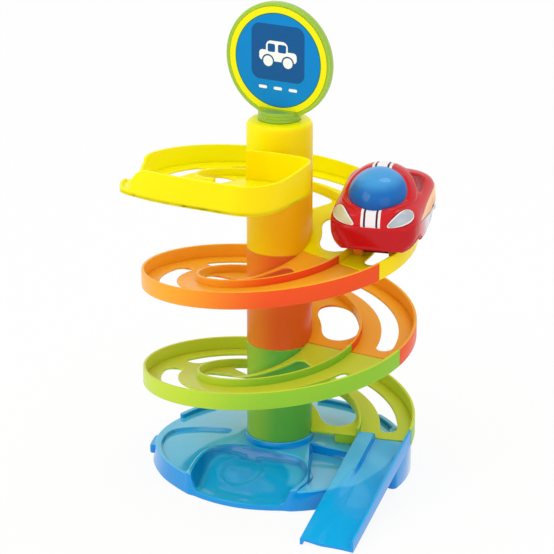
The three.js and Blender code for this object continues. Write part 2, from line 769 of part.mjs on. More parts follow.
function wheel(along, side) {
  const outside = side * (wheelMiddle + car.wheelWidth / 2);
  const across = (radius, width, y, sides) => acrossCylinder(radius, width, along, y, car.wheelRadius, sides);
  const dish = across(car.wheelRadius * car.wheelDishShare, car.wheelHollow * 2, outside)
    .subtract(across(car.wheelRadius * car.wheelHubShare, car.wheelHollow * 4, outside, pinSides));
  return across(car.wheelRadius, car.wheelWidth, side * wheelMiddle)
    .subtract(dish)
    .subtract(across(car.axleRadius + fit.press, car.width, 0, pinSides));
}

function axle(along) {
  return acrossCylinder(car.axleRadius, 2 * wheelFace, along, 0, car.wheelRadius, pinSides);
}

// How the car stands on the spiral: the mean slope of its wheels, and the twist between them.
function carPlacement() {
  const outerTurn = degrees(Math.atan(halfBase / (carRadius + wheelFace)));
  const innerTurn = degrees(Math.atan(halfBase / (carRadius - wheelFace)));
  const meanDrop = (risePerDegree * (outerTurn + innerTurn)) / 2;
  const twist = (risePerDegree * (innerTurn - outerTurn)) / 2;
  const seam = column.seamHeight + 2 * track.rise;
  const floor = seam + wallTopAtEnd - track.floorDepth + risePerDegree * car.turnAbove;
  const endBearing = track.endBearing - 2 * sectionTwist;
  return {
    bearing: endBearing + car.turnAbove,
    pitch: Math.atan(meanDrop / halfBase),
    height: floor + twist + fit.clearance,
  };
}

// Assembly

const blue = 0x06a5e6;
const green = 0xa4d233;
const orange = 0xf98a20;
const yellow = 0xffdf00;
const red = 0xd81e26;

const rampSpace = loft(rampStations(rampSpaceSection));
addPiece(toy, 'base_tray', baseTray(rampSpace), blue, 0.15);
addPiece(toy, 'exit_ramp', exitRamp(), blue, 0.15);
addPiece(toy, 'lower_track', trackSection(0), green);
addPiece(toy, 'middle_track', trackSection(1), orange);
addPiece(toy, 'upper_track', upperTrack(), yellow);

const signPieces = signHolder();
addPiece(toy, 'sign_holder', signPieces.holder, green, 0.1);
addPiece(toy, 'sign_label_front', signPieces.front, 0x0a84ce, 0.4);
addPiece(toy, 'sign_label_back', signPieces.back, 0x0a84ce, 0.4);

const placement = carPlacement();
const carYaw = new THREE.Group();
const spot = polar(carRadius, placement.bearing);
carYaw.position.set(spot.x, spot.y, placement.height);
carYaw.rotation.z = radians(placement.bearing - 180);
const carPitch = new THREE.Group();
carPitch.rotation.y = placement.pitch;
carYaw.add(carPitch);
toy.add(carYaw);

addPiece(carPitch, 'car_body', carBody(), red, 0.2);
addPiece(carPitch, 'car_windscreen', carGlass(), 0x0e7ac4, 0.08);
addPiece(carPitch, 'headlight_left', carEllipsoid(lampShares, 0, 1), 0xb9c2c6, 0.2);
addPiece(carPitch, 'headlight_right', carEllipsoid(lampShares, 0, -1), 0xd8cfa8, 0.2);
addPiece(carPitch, 'car_chassis', chassis(), 0x2b2b2e, 0.5);
for (const [end, along] of [['front', halfBase], ['rear', -halfBase]]) {
  addPiece(carPitch, `${end}_axle`, axle(along), 0xb8bcc0, 0.3, 1);
  for (const [name, side] of [['left', 1], ['right', -1]]) {
    addPiece(carPitch, `wheel_${end}_${name}`, wheel(along, side), 0x1c1c1e, 0.6);
  }
}
const [frontScrew, rearScrew] = screwPlaces;
addPiece(carPitch, 'chassis_screw_front', chassisScrew(frontScrew), 0xb8bcc0, 0.3, 1);
addPiece(carPitch, 'chassis_screw_rear', chassisScrew(rearScrew), 0xb8bcc0, 0.3, 1);

export default toy;
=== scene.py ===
import json
import math
import bmesh
import bpy
import numpy as np
from mathutils import Euler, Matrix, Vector
from mathutils.geometry import delaunay_2d_cdt

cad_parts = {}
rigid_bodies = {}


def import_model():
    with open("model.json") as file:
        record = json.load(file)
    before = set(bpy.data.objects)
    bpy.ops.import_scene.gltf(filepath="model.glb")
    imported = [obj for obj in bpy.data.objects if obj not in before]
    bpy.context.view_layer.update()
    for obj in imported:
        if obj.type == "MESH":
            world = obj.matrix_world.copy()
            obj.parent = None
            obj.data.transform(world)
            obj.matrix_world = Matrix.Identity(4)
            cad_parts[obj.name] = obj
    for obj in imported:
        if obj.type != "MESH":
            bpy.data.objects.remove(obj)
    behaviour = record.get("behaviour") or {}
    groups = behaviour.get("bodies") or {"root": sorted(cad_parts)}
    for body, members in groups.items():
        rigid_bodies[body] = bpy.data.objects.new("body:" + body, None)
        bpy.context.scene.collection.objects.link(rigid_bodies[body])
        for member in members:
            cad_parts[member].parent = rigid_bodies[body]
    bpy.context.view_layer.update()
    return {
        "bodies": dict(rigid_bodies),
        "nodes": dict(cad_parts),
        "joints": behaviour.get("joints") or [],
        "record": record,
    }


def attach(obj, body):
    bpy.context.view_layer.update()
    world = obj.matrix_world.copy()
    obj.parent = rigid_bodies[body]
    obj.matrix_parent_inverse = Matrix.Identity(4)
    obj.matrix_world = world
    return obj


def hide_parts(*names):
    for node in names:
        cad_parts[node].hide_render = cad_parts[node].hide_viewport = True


# Toy spiral car park: three plugged track sections, a launch deck, a sign, a base with a bay,
# an exit ramp and one car. Lengths are in millimetres until a mesh is made.

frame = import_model()
print("frame loaded:", len(frame["nodes"]), "pieces of the model")

millimetre = 0.001
quarterTurn = np.pi / 2


# Camera

camera = {
    "place": (1.0751, -1.9395, 0.9744), "turn": (70.19, 0.0, 29.057), "lens": 176.1, "sensor": 36.0,
    "farthest": 20.0,
}

eye = bpy.data.objects.new("photo_camera", bpy.data.cameras.new("photo_camera"))
bpy.context.collection.objects.link(eye)
eye.location = camera["place"]
eye.rotation_euler = Euler([math.radians(a) for a in camera["turn"]])
eye.data.lens = camera["lens"]
eye.data.sensor_width = camera["sensor"]
eye.data.clip_end = camera["farthest"]
bpy.context.scene.camera = eye
bpy.context.scene.view_settings.view_transform = "Standard"
print("camera placed")


# Shader maths

def operator(operation, swapped=False):
    # a method of Wire that adds one Math node
    def run(wire, other):
        return wire.maths(operation, *((other, wire) if swapped else (wire, other)))
    return run


class Wire:
    # a socket that can be used in sums
    def __init__(self, finish, socket):
        self.finish = finish
        self.socket = socket

    def maths(self, operation, *values):
        return self.finish.node("ShaderNodeMath", {"operation": operation}, dict(enumerate(values)))

    __add__, __radd__ = operator("ADD"), operator("ADD", True)
    __sub__, __rsub__ = operator("SUBTRACT"), operator("SUBTRACT", True)
    __mul__, __rmul__ = operator("MULTIPLY"), operator("MULTIPLY", True)
    __truediv__, __pow__ = operator("DIVIDE"), operator("POWER")
    atLeast, atMost = operator("MAXIMUM"), operator("MINIMUM")

    def above(self, edge, softness):
        # 0 below the edge, 1 above it, with a short slope between
        half = softness / 2
        return self.finish.node("ShaderNodeMapRange", {"interpolation_type": "SMOOTHSTEP"},
                                {0: self, 1: edge - half, 2: edge + half})

    def below(self, edge, softness):
        return 1 - self.above(edge, softness)

    def size(self):
        return self.maths("ABSOLUTE", self)


def toLinear(colour):
    # sRGB 0 to 255, as read off a picture, to the linear colour that a shader takes
    share = np.array(colour, float) / 255
    return tuple(np.where(share <= 0.04045, share / 12.92, ((share + 0.055) / 1.055) ** 2.4)) + (1.0,)


class Finish:
    # one material, built from nodes
    def __init__(self, name, **constants):
        self.material = bpy.data.materials.new(name)
        self.material.use_nodes = True
        self.tree = self.material.node_tree
        self.shader = self.tree.nodes["Principled BSDF"]
        self.output = self.tree.nodes["Material Output"]
        for socket, value in constants.items():
            self.shader.inputs[socket.replace("_", " ")].default_value = value
        self.place = self.node("ShaderNodeTexCoord", {}, {}, "Object")

    def node(self, kind, settings, values, output=0):
        made = self.tree.nodes.new(kind)
        for name, value in settings.items():
            if name == "stops":
                self.setStops(made.color_ramp, value)
            else:
                setattr(made, name, value)
        for key, value in values.items():
            socket = made.inputs[key]
            if isinstance(value, Wire):
                self.tree.links.new(value.socket, socket)
            else:
                socket.default_value = value
        return Wire(self, made.outputs[output])

    def setStops(self, ramp, stops):
        while len(ramp.elements) < len(stops):
            ramp.elements.new(1.0)
        for element, (position, colour) in zip(ramp.elements, stops):
            element.position = position
            element.color = colour

    def feed(self, socket, value):
        self.tree.links.new(value.socket, self.shader.inputs[socket])

    def seen(self):
        # 1 where the camera, a reflection or clear plastic looks at it, 0 for the light it casts
        rays = [self.node("ShaderNodeLightPath", {}, {}, "Is %s Ray" % ray)
                for ray in ("Camera", "Glossy", "Transmission")]
        return rays[0].atLeast(rays[1]).atLeast(rays[2])

    def glow(self, share):
        # where it is seen, this share of the surface is plain white light
        white = self.node("ShaderNodeEmission", {}, {"Color": (1, 1, 1, 1), "Strength": 1.0})
        plain = Wire(self, self.shader.outputs[0])
        mixed = self.node("ShaderNodeMixShader", {}, {0: self.seen() * share, 1: plain, 2: white})
        self.tree.links.new(mixed.socket, self.output.inputs["Surface"])

    def mix(self, share, low, high):
        # colours by share, each a socket or sRGB: 6 and 7 are the Mix node's two colours
        low, high = (colour if isinstance(colour, Wire) else toLinear(colour) for colour in (low, high))
        return self.node("ShaderNodeMix", {"data_type": "RGBA"}, {0: share, 6: low, 7: high}, 2)

    def axes(self, vector):
        return [self.node("ShaderNodeSeparateXYZ", {}, {0: vector}, axis) for axis in range(3)]

    def facing(self):
        # the direction that the surface faces, by axis
        return self.axes(self.node("ShaderNodeTexCoord", {}, {}, "Normal"))

    def along(self, origin, axis):
        # how many millimetres a point lies past the origin in the axis's direction
        away = self.node("ShaderNodeVectorMath", {"operation": "SUBTRACT"},
                         {0: self.place, 1: [v * millimetre for v in origin]})
        values = {0: away, 1: axis}
        return self.node("ShaderNodeVectorMath", {"operation": "DOT_PRODUCT"}, values, "Value") * 1000

    def noise(self, scale, detail=2.0, roughness=0.5):
        values = {"Vector": self.place, "Scale": scale, "Detail": detail, "Roughness": roughness}
        return self.node("ShaderNodeTexNoise", {}, values, 0)

    def bump(self, height, distance, strength=1.0):
        values = {"Height": height, "Distance": distance, "Strength": strength}
        self.feed("Normal", self.node("ShaderNodeBump", {}, values, "Normal"))


# Surfaces

def polar(radius, bearing):
    # a point in plan at a radius and a bearing in degrees, where 0 is -Y and 90 is +X
    angle = np.radians(bearing)
    return np.stack(np.broadcast_arrays(radius * np.sin(angle), -radius * np.cos(angle)), axis=-1)


def bearingOf(points):
    return np.degrees(np.arctan2(points[..., 0], -points[..., 1]))


def blendStep(value):
    # 0 below 0, 1 above 1, and t * t * (3 - 2 t) between
    t = np.clip(value, 0, 1)
    return t * t * (3 - 2 * t)


def slope(value, start, span):
    # the same step from a start over a span, downwards where the span is negative
    return blendStep((value - start) / span)


def smoothClosed(points, count):
    # a closed curve through the points: for each span the cubic whose slope at a point is half
    # the step between its neighbours
    points = np.array(points, float)
    share = np.arange(count) * len(points) / count
    start = share.astype(int)
    t = (share - start)[:, None]
    p0, p1, p2, p3 = (points[(start + k) % len(points)] for k in (-1, 0, 1, 2))
    return 0.5 * (2 * p1 + (p2 - p0) * t + (2 * p0 - 5 * p1 + 4 * p2 - p3) * t ** 2
                  + (3 * p1 - p0 - 3 * p2 + p3) * t ** 3)


def evenly(points, count, closed=True):
    # the same line with its points at equal steps along it
    line = np.concatenate([points, points[:1]]) if closed else points
    steps = np.linalg.norm(np.diff(line, axis=0), axis=1)
    run = np.concatenate([[0], np.cumsum(steps)])
    wanted = np.linspace(0, run[-1], count, endpoint=not closed)
    return np.stack([np.interp(wanted, run, line[:, k]) for k in range(line.shape[1])], axis=1)


def outward(points, closed=True):
    # unit normals in plan, to the right of an anticlockwise line
    if closed:
        along = np.roll(points, -1, axis=0) - np.roll(points, 1, axis=0)
    else:
        along = np.gradient(points, axis=0)
    along = along / np.linalg.norm(along, axis=1, keepdims=True)
    return np.stack([along[:, 1], -along[:, 0]], axis=1)


class Outline:
    # a closed line in plan that can be drawn larger or smaller by a distance
    def __init__(self, points):
        self.points = np.array(points, float)
        x, y = self.points.T
        area = np.sum(x * np.roll(y, -1) - np.roll(x, -1) * y)
        if area < 0:
            self.points = self.points[::-1]
        self.normals = outward(self.points)

    def grown(self, distance):
        return self.points + self.normals * distance


class SectorOutline(Outline):
    # a piece of a ring with round corners: arcs about the column and quarter circles about
    # centres that stay put while the outline grows
    def __init__(self, inner, outer, start, end, corner, arcStep=3.0, cornerCount=9):
        corner = min(corner, (outer - inner) / 2)
        outerTurn = np.degrees(np.arcsin(corner / (outer - corner)))
        innerTurn = np.degrees(np.arcsin(corner / (inner + corner)))
        count = max(3, int(np.radians(end - start) * outer / arcStep))
        outerArc = np.linspace(start + outerTurn, end - outerTurn, count)
        innerArc = np.linspace(end - innerTurn, start + innerTurn, count)
        turns = [
            (outer - corner, end - outerTurn, end - outerTurn, end + 90),
            (inner + corner, end - innerTurn, end + 90, end - innerTurn + 180),
            (inner + corner, start + innerTurn, start + innerTurn - 180, start - 90),
            (outer - corner, start + outerTurn, start - 90, start + outerTurn),
        ]
        bends = []
        for radius, at, first, last in turns:
            push = polar(1.0, np.linspace(first, last, cornerCount))
            bends.append((polar(radius, at) + push * corner, push))
        lines = [(polar(outer, outerArc), polar(1.0, outerArc)), *bends[:2],
                 (polar(inner, innerArc), -polar(1.0, innerArc)), *bends[2:]]
        points, normals = (np.concatenate(column) for column in zip(*lines))
        apart = np.linalg.norm(points - np.roll(points, -1, axis=0), axis=1) > 1e-3
        self.points, self.normals = points[apart], normals[apart]


def level(height):
    # the same height everywhere
    return lambda points: np.full(len(points), height)


def within(points, loop):
    # even-odd test of many points against one closed line
    x, y = points[:, 0:1], points[:, 1:2]
    ax, ay = loop[:, 0][None], loop[:, 1][None]
    bx, by = np.roll(ax, -1), np.roll(ay, -1)
    crosses = (ay > y) != (by > y)
    reach = (bx - ax) * (y - ay) / np.where(by == ay, 1e-12, by - ay) + ax
    return (np.sum(crosses & (x < reach), axis=1) % 2) == 1


class Shell:
    # gathers closed surfaces in millimetres and makes one mesh object of them
    def __init__(self):
        # parts says which material each face takes
        self.points, self.faces, self.parts, self.count = [], [], [], 0

    def add(self, points, faces):
        self.points.append(np.asarray(points, float).reshape(-1, 3))
        self.faces.extend(np.asarray(face) + self.count for face in faces)
        self.parts.extend([0] * len(faces))
        self.count += len(self.points[-1])

    def grid(self, points, closedAcross=False, closedAlong=False, capEnds=False):
        # points is rows by columns; the quads run between neighbours in both directions
        rows, columns = points.shape[:2]
        index = np.arange(rows * columns).reshape(rows, columns)
        if closedAcross:
            index = np.concatenate([index, index[:, :1]], axis=1)
        if closedAlong:
            index = np.concatenate([index, index[:1]], axis=0)
        quads = np.stack([index[:-1, :-1], index[:-1, 1:], index[1:, 1:], index[1:, :-1]], axis=-1)
        faces = list(quads.reshape(-1, 4))
        if capEnds:
            faces += [index[0, :columns][::-1], index[-1, :columns]]
        self.add(points, faces)

    def plate(self, outlines, top, thickness, rounding, spacing=4.0, roundSteps=3, sole=None):
        # A sheet of even thickness with holes, or down to a flat sole. The first outline is its
        # edge and the others are holes. Its upper side is at the height top(points). At an edge
        # both sides turn over a quarter circle: the inset is rounding * (1 - sin) and the drop
        # is rounding * (1 - cos)
        signs = [-1] + [1] * (len(outlines) - 1)
        loops = [o.grown(s * rounding) for o, s in zip(outlines, signs)]
        flat, triangles = fill(loops, spacing)
        bottom = (lambda p: top(p) - thickness) if sole is None else level(sole)
        self.add(np.column_stack([flat, top(flat)]), list(triangles))
        self.add(np.column_stack([flat, bottom(flat)]), list(triangles[:, ::-1]))
        angles = np.linspace(0, quarterTurn, roundSteps + 1)
        insets = rounding * (1 - np.sin(angles))
        drops = rounding * (1 - np.cos(angles))
        for outline, sign in zip(outlines, signs):
            still = outline.grown(sign * rounding)
            rows = [(inset, top(still) - drop) for inset, drop in zip(insets, drops)]
            rows += [(inset, bottom(still) + drop) for inset, drop in zip(insets[::-1], drops[::-1])]
            rows = [np.column_stack([outline.grown(sign * inset), height]) for inset, height in rows]
            self.grid(np.array(rows), closedAcross=True)

    def build(self, name, materials, body, node, sharpAngle=38.0, weld=2e-6, thinnest=1e-7):
        mesh = bpy.data.meshes.new(name)
        points = np.concatenate(self.points) * millimetre
        mesh.from_pydata(points.tolist(), [], [face.tolist() for face in self.faces])
        mesh.polygons.foreach_set("material_index", np.array(self.parts, np.int32))
        work = bmesh.new()
        work.from_mesh(mesh)
        bmesh.ops.remove_doubles(work, verts=work.verts, dist=weld)
        bmesh.ops.dissolve_degenerate(work, edges=work.edges, dist=thinnest)
        bmesh.ops.recalc_face_normals(work, faces=work.faces)
        work.to_mesh(mesh)
        work.free()
        for material in materials:
            mesh.materials.append(material)
        mesh.polygons.foreach_set("use_smooth", np.ones(len(mesh.polygons), bool))
        mesh.set_sharp_from_angle(angle=math.radians(sharpAngle))
        piece = bpy.data.objects.new(name, mesh)
        bpy.context.collection.objects.link(piece)
        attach(piece, body)
        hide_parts(node)


def fill(loops, spacing, guides=(), rowShare=0.87, clearShare=0.45, weld=1e-6):
    # triangles between an outer line and its holes, with a net of inner points so that the
    # sheet can follow a curved surface. Edges also run along the guides
    low, high = loops[0].min(axis=0), loops[0].max(axis=0)
    columns, rows = (int(v) for v in np.ceil((high - low) / spacing))
    x, y = np.meshgrid(np.arange(columns + 1), np.arange(rows + 1))
    net = low + np.stack([x + 0.5 * (y % 2), y * rowShare], axis=-1).reshape(-1, 2) * spacing
    edge = np.concatenate([*loops, *guides])
    inside = within(net, loops[0])
    for hole in loops[1:]:
        inside &= ~within(net, hole)
    net = net[inside]
    near = ((net[:, None] - edge[None]) ** 2).sum(axis=2).min(axis=1)
    net = net[near > (clearShare * spacing) ** 2]
    lines = (*loops, *guides)
    starts = np.cumsum([0] + [len(line) for line in lines])
    links = []
    for start, loop in zip(starts, lines):
        index = np.arange(len(loop))
        links.append(np.column_stack([index, np.roll(index, -1)]) + start)
    everything = np.concatenate([edge, net])
    vectors = [Vector(p) for p in everything.tolist()]
    result = delaunay_2d_cdt(vectors, np.concatenate(links).tolist(), [], 0, weld)
    flat = np.array([v[:] for v in result[0]])
    triangles = np.array([f for f in result[2] if len(f) == 3])
    middle = flat[triangles].mean(axis=1)
    kept = within(middle, loops[0])
    for hole in loops[1:]:
        kept &= ~within(middle, hole)
    used, renumbered = np.unique(triangles[kept], return_inverse=True)
    return flat[used], renumbered.reshape(-1, 3)


def roundedBar(inner, outer, low, high, rounding, steps=3):
    # the profile of an upright bar with a quarter circle at each corner. The sizes may change
    # along a path, and the result is path by profile by (radius, height)
    inner, outer, low, high = np.broadcast_arrays(*np.atleast_1d(inner, outer, low, high))
    angle = np.radians(np.array([-90, 0, 90, 180])[:, None] + np.linspace(0, 90, steps + 1))
    across = np.stack([outer - rounding, outer - rounding, inner + rounding, inner + rounding], axis=1)
    up = np.stack([low + rounding, high - rounding, high - rounding, low + rounding], axis=1)
    profile = [across[..., None] + rounding * np.cos(angle), up[..., None] + rounding * np.sin(angle)]
    return np.stack(profile, axis=-1).reshape(len(inner), -1, 2)


def lathe(shell, profile, sides=96):
    # a closed (radius, height) profile turned about the column's axis
    profile = np.array(profile, float)
    bearing = np.linspace(0, 360, sides, endpoint=False)
    plan = polar(profile[None, :, 0], bearing[:, None])
    height = np.broadcast_to(profile[None, :, 1], plan.shape[:2])
    points = np.concatenate([plan, height[..., None]], axis=-1)
    shell.grid(points, closedAcross=True, closedAlong=True)


def softened(profile, rounding, steps=3, closed=True):
    # a polyline whose corners are cut back by up to the rounding and joined by a curve whose
    # control point is the corner: (1 - t)^2 a + 2 t (1 - t) corner + t^2 b
    profile = np.array(profile, float)
    before, after = np.roll(profile, 1, axis=0) - profile, np.roll(profile, -1, axis=0) - profile
    back = np.linalg.norm(before, axis=1, keepdims=True)
    ahead = np.linalg.norm(after, axis=1, keepdims=True)
    cut = np.minimum(rounding, 0.49 * np.minimum(back, ahead))
    a, b = profile + before / back * cut, profile + after / ahead * cut
    t = np.linspace(0, 1, steps + 1)[None, :, None]
    curve = (1 - t) ** 2 * a[:, None] + 2 * t * (1 - t) * profile[:, None] + t ** 2 * b[:, None]
    if not closed:
        curve[0], curve[-1] = profile[0], profile[-1]
    return curve.reshape(-1, 2)


# Plastics

# Settings for the plastics' painted light and shade, mottle and waviness. A pair is an edge and its
# softness, a triple a noise's scale, detail and roughness. The depth of the wave is a distance in metres and
# a strength
shade = {
    "lightFrom": -75.0, "lightSide": (0.25, 1.0), "lightShare": 0.9, "up": (0.55, 0.5),
    "inward": (-0.45, 0.6), "columnRadius": (0.0295, 0.0006), "columnTop": (0.272, 0.012),
    "columnShare": 0.5, "mottle": (38.0, 3.0, 0.55), "mottleShare": 0.10, "darker": 0.9,
    "roughness": 0.3, "grain": 160.0, "wave": (55.0, 2.0, 0.4), "waveDepth": (0.00012, 0.35),
}
light = polar(1.0, shade["lightFrom"])


def plastic(name, wall, lit, column):
    # Moulded see-through plastic with painted light and shade: faces that look up, in towards the
    # column or towards the side that the light comes from take a painted lit tone, lighter and yellower
    # than the other walls, and the column below the deck a deeper tone, painted shade. A faint mottle
    # and waviness break up the rest.
    finish = Finish(name, IOR=1.46, Specular_IOR_Level=0.15, Subsurface_Weight=0.25,
                    Subsurface_Scale=0.004)
    finish.shader.inputs["Subsurface Radius"].default_value = (1.0, 0.8, 0.3)
    nx, ny, nz = finish.facing()
    x, y, z = finish.axes(finish.place)
    radius = ((x ** 2 + y ** 2) ** 0.5).atLeast(0.001)
    inward = ((nx * x + ny * y) / radius).below(*shade["inward"])
    lightSide = (nx * light[0] + ny * light[1]).above(*shade["lightSide"])
    columnShade = radius.below(*shade["columnRadius"]) * z.below(*shade["columnTop"])
    lightSide = lightSide * (shade["lightShare"] - columnShade * shade["columnShare"])
    # painted light: how much of the lit tone each face takes
    share = nz.above(*shade["up"]).atLeast(inward).atLeast(lightSide)
    # painted shade: the column below the deck takes the deeper tone
    plain = finish.mix(columnShade, wall, column)
    colour = finish.mix(share, plain, lit)
    spread = shade["mottleShare"]
    mottle = (finish.noise(*shade["mottle"]) - 0.5) * spread + spread / 2
    finish.feed("Base Color", finish.mix(mottle, colour, [shade["darker"] * v for v in wall]))
    finish.feed("Roughness", shade["roughness"] + (finish.noise(shade["grain"]) - 0.5) * 0.08)
    finish.bump(finish.noise(*shade["wave"]), *shade["waveDepth"])
    return finish.material


# Tower

tower = {
    "columnRadius": 28.5, "columnWall": 2.5, "spigotHeight": 10.0, "seamGap": 0.3, "radius": 120.0,
    "turn": 345.0, "rise": 86.5, "wall": 2.6, "wallAbove": 11.7, "wallBelow": 3.7,
    "floorThickness": 2.2, "roadInner": 72.6, "curbWall": 2.4, "curbHeight": 6.8, "ledgeRadius": 37.0,
    "slotInner": 89.3, "slotOuter": 104.3, "edge": 0.7, "slotTurns": [(7, 80), (95, 162), (177, 325)],
    "openingTurns": [(12, 68), (90, 146), (180, 315)], "openingCorners": [16.0, 9.0, 9.0],
    "slotCorner": 7.5, "endMargin": 6, "leastTurn": 12, "columnLap": 1.2, "wallLap": 0.8,
    "endGap": 0.15, "endCorner": 0.6, "curbClear": 0.4, "curbBelow": 1.5, "railStep": 1.5, "lift": 0.1,
    "columnEdge": 0.5,
}
risePerDegree = tower["rise"] / tower["turn"]
roadOuter = tower["radius"] - tower["wall"]
sections = {
    "lower_track": {"seam": 31.5, "end": 103.0, "turn": tower["turn"], "slot": "green_plastic",
                    "web": (50.5, 71.0, 103.5, 105.5), "webHeights": (25.0, 32.6)},
    "middle_track": {"seam": 118.0, "end": 88.0, "turn": tower["turn"], "slot": "orange_plastic"},
    "upper_track": {"seam": 204.5, "end": 73.0, "turn": 266.0, "slot": "yellow_plastic"},
}


def floorTop(section, turn):
    # the road climbs evenly with the turn from the section's low end
    return section["seam"] + tower["seamGap"] + tower["floorThickness"] + risePerDegree * turn


def turnAt(section, points):
    middle = section["end"] + section["turn"] / 2
    away = (bearingOf(points) - middle + 180) % 360 - 180
    return away + section["turn"] / 2


def addRoad(shell, section):
    # the floor between column and wall, with slots in the road and openings beside the column
    start, lastTurn, gap = section["end"], section["turn"], tower["endGap"]
    outlines = [SectorOutline(tower["columnRadius"] - tower["columnLap"], roadOuter + tower["wallLap"],
                              start + gap, start + lastTurn - gap, tower["endCorner"], cornerCount=3)]
    holes = [(turns, tower["slotInner"], tower["slotOuter"], tower["slotCorner"])
             for turns in tower["slotTurns"]]
    openingOuter = tower["roadInner"] - tower["curbWall"] - tower["curbClear"]
    holes += [(turns, tower["ledgeRadius"], openingOuter, corner)
              for turns, corner in zip(tower["openingTurns"], tower["openingCorners"])]
    for (first, last), inner, outer, corner in holes:
        last = min(last, lastTurn - tower["endMargin"])
        if last > first + tower["leastTurn"]:
            outlines.append(SectorOutline(inner, outer, start + first, start + last, corner))
    top = lambda points: floorTop(section, turnAt(section, points))
    shell.plate(outlines, top, tower["floorThickness"], tower["edge"])


def addRail(shell, section, inner, outer, low, high):
    # an upright wall that climbs with the road. low and high are heights along it
    gap = tower["endGap"]
    turns = np.linspace(gap, section["turn"] - gap, int(section["turn"] / tower["railStep"]))
    profile = roundedBar(inner, outer, low(turns), high(turns), tower["edge"])
    plan = polar(profile[..., 0], (section["end"] + turns)[:, None])
    points = np.concatenate([plan, profile[..., 1:]], axis=-1)
    shell.grid(points, closedAcross=True, capEnds=True)


def addTrack(shell, section, rim=lambda turn, top: top):
    # rim says how high the outer wall's top is, from the turn and its plain height
    addRoad(shell, section)
    floor, least = lambda turn: floorTop(section, turn), 2 * tower["edge"]
    wallTop = lambda turn: np.maximum(rim(turn, floor(turn) + tower["wallAbove"]), floor(turn) + least)
    addRail(shell, section, roadOuter, tower["radius"],
            lambda turn: floor(turn) - tower["wallBelow"], wallTop)
    addRail(shell, section, tower["roadInner"] - tower["curbWall"], tower["roadInner"],
            lambda turn: floor(turn) - tower["curbBelow"], lambda turn: floor(turn) + tower["curbHeight"])


def columnProfile(seam, top):
    # a tube with a socket below and above it the spigot for the next section
    r, w = tower["columnRadius"], tower["columnWall"]
    socket, low, high = r - w, seam + tower["lift"], top + tower["spigotHeight"]
    spigot = socket - tower["seamGap"]
    return [(r, low), (r, top), (spigot, top), (spigot, high), (spigot - w, high), (spigot - w, top - w),
            (socket, top - 2 * w), (socket, low)]


# each plastic: its wall tone, its lighter painted lit tone and the column's painted shade
green = plastic("lime_plastic", (146, 198, 54), (208, 230, 62), (92, 174, 66))
orange = plastic("orange_plastic", (240, 84, 34), (255, 184, 44), (226, 98, 34))
yellow = plastic("yellow_plastic", (254, 222, 0), (255, 246, 0), (253, 190, 14))

for name, material in (("lower_track", green), ("middle_track", orange)):
    section = sections[name]
    shell = Shell()
    addTrack(shell, section)
    top = section["seam"] + tower["rise"] - tower["seamGap"]
    lathe(shell, softened(columnProfile(section["seam"], top), tower["columnEdge"]))
    if "web" in section:
        low, high = section["webHeights"]
        shell.plate([SectorOutline(*section["web"], 0.9)], level(high), high - low, 0.6)
    shell.build(name + "_moulding", [material], name, name)
print("lower and middle track made")


# Upper track and deck

deck = {
    "floor": 273.7, "thickness": 3.0, "wall": 2.8, "wallHeight": 22.8, "shoulder": 6.0,
    "columnTop": 319.2,
    "shares": [
        (-0.77, -0.918), (-0.56, -0.992), (-0.31, -1.018), (0, -1.014), (0.24, -0.998), (0.37, -0.922),
        (0.432, -0.77), (0.446, -0.53), (0.44, -0.37), (0.4, -0.285), (0.3, -0.25), (0.06, -0.258),
        (-0.1, -0.3), (-0.2, -0.34), (-0.79, -0.66),
    ],
    "slope": (-0.49, -0.655), "slopeBefore": -0.5, "wallFrom": (-0.1, -0.75), "wallLow": 1.9,
    "wallEdge": 0.9, "backRise": 3.0, "backFrom": (-0.75, 0.45), "edge": 0.6, "roadLap": 0.6,
    "backGap": 0.1, "lift": 6.0, "liftTurns": (60, 207), "besideTurn": (214, 1.5), "besideTop": 3.5,
    "bore": 18.3, "boreDepth": 14.0,
}


def deckLine():
    # the deck's outer edge from the left tip along the front and round to the column
    return evenly(smoothClosed(np.array(deck["shares"]) * tower["radius"], 1200), 600)


def addDeck(shell, section):
    line = deckLine()
    endBearing = section["end"] + section["turn"] - 360
    bearing, reach = bearingOf(line), np.linalg.norm(line, axis=1)
    overRoad = (bearing < endBearing) & (bearing > endBearing - 90) & (reach < roadOuter)
    first = int(np.flatnonzero(overRoad & ~np.roll(overRoad, -1))[0]) + 1
    kept = np.roll(line, -first, axis=0)[:int((~overRoad).sum())]
    startBearing = bearingOf(kept[0])
    rim, join = roadOuter + deck["roadLap"], endBearing - deck["backGap"]
    back = polar(np.linspace(np.linalg.norm(kept[-1]), rim, 20)[1:], join)
    arc = polar(rim, np.linspace(join, startBearing, 24)[1:-1])
    outline = Outline(evenly(np.concatenate([kept, back, arc]), 420))
    floor, radius = deck["floor"], tower["radius"]
    shell.plate([outline], level(floor), deck["thickness"], deck["edge"])
    # the wall follows the outer edge; its top falls to the floor at the left tip
    x, y = kept.T / radius
    right, front = deck["wallFrom"]
    path = evenly(kept[(x >= right) | (y <= front)], 260, closed=False)
    slopeTop, slopeLow = (v * radius for v in deck["slope"])
    share = np.clip((path[:, 0] - slopeTop) / (slopeLow - slopeTop), 0, 1)
    share = np.where(path[:, 1] < deck["slopeBefore"] * radius, share, 0.0)
    back = deck["backRise"] * slope(path[:, 1] / radius, *deck["backFrom"])
    low = deck["wallLow"]
    high = floor + low + (deck["wallHeight"] - low) * np.sqrt(1 - share ** 2) + back
    profile = roundedBar(-deck["wall"], 0.0, floor - deck["thickness"], high, deck["wallEdge"], steps=4)
    normal = outward(path, closed=False)
    plan = path[:, None, :] + normal[:, None, :] * profile[..., 0:1]
    shell.grid(np.concatenate([plan, profile[..., 1:]], axis=-1), closedAcross=True, capEnds=True)


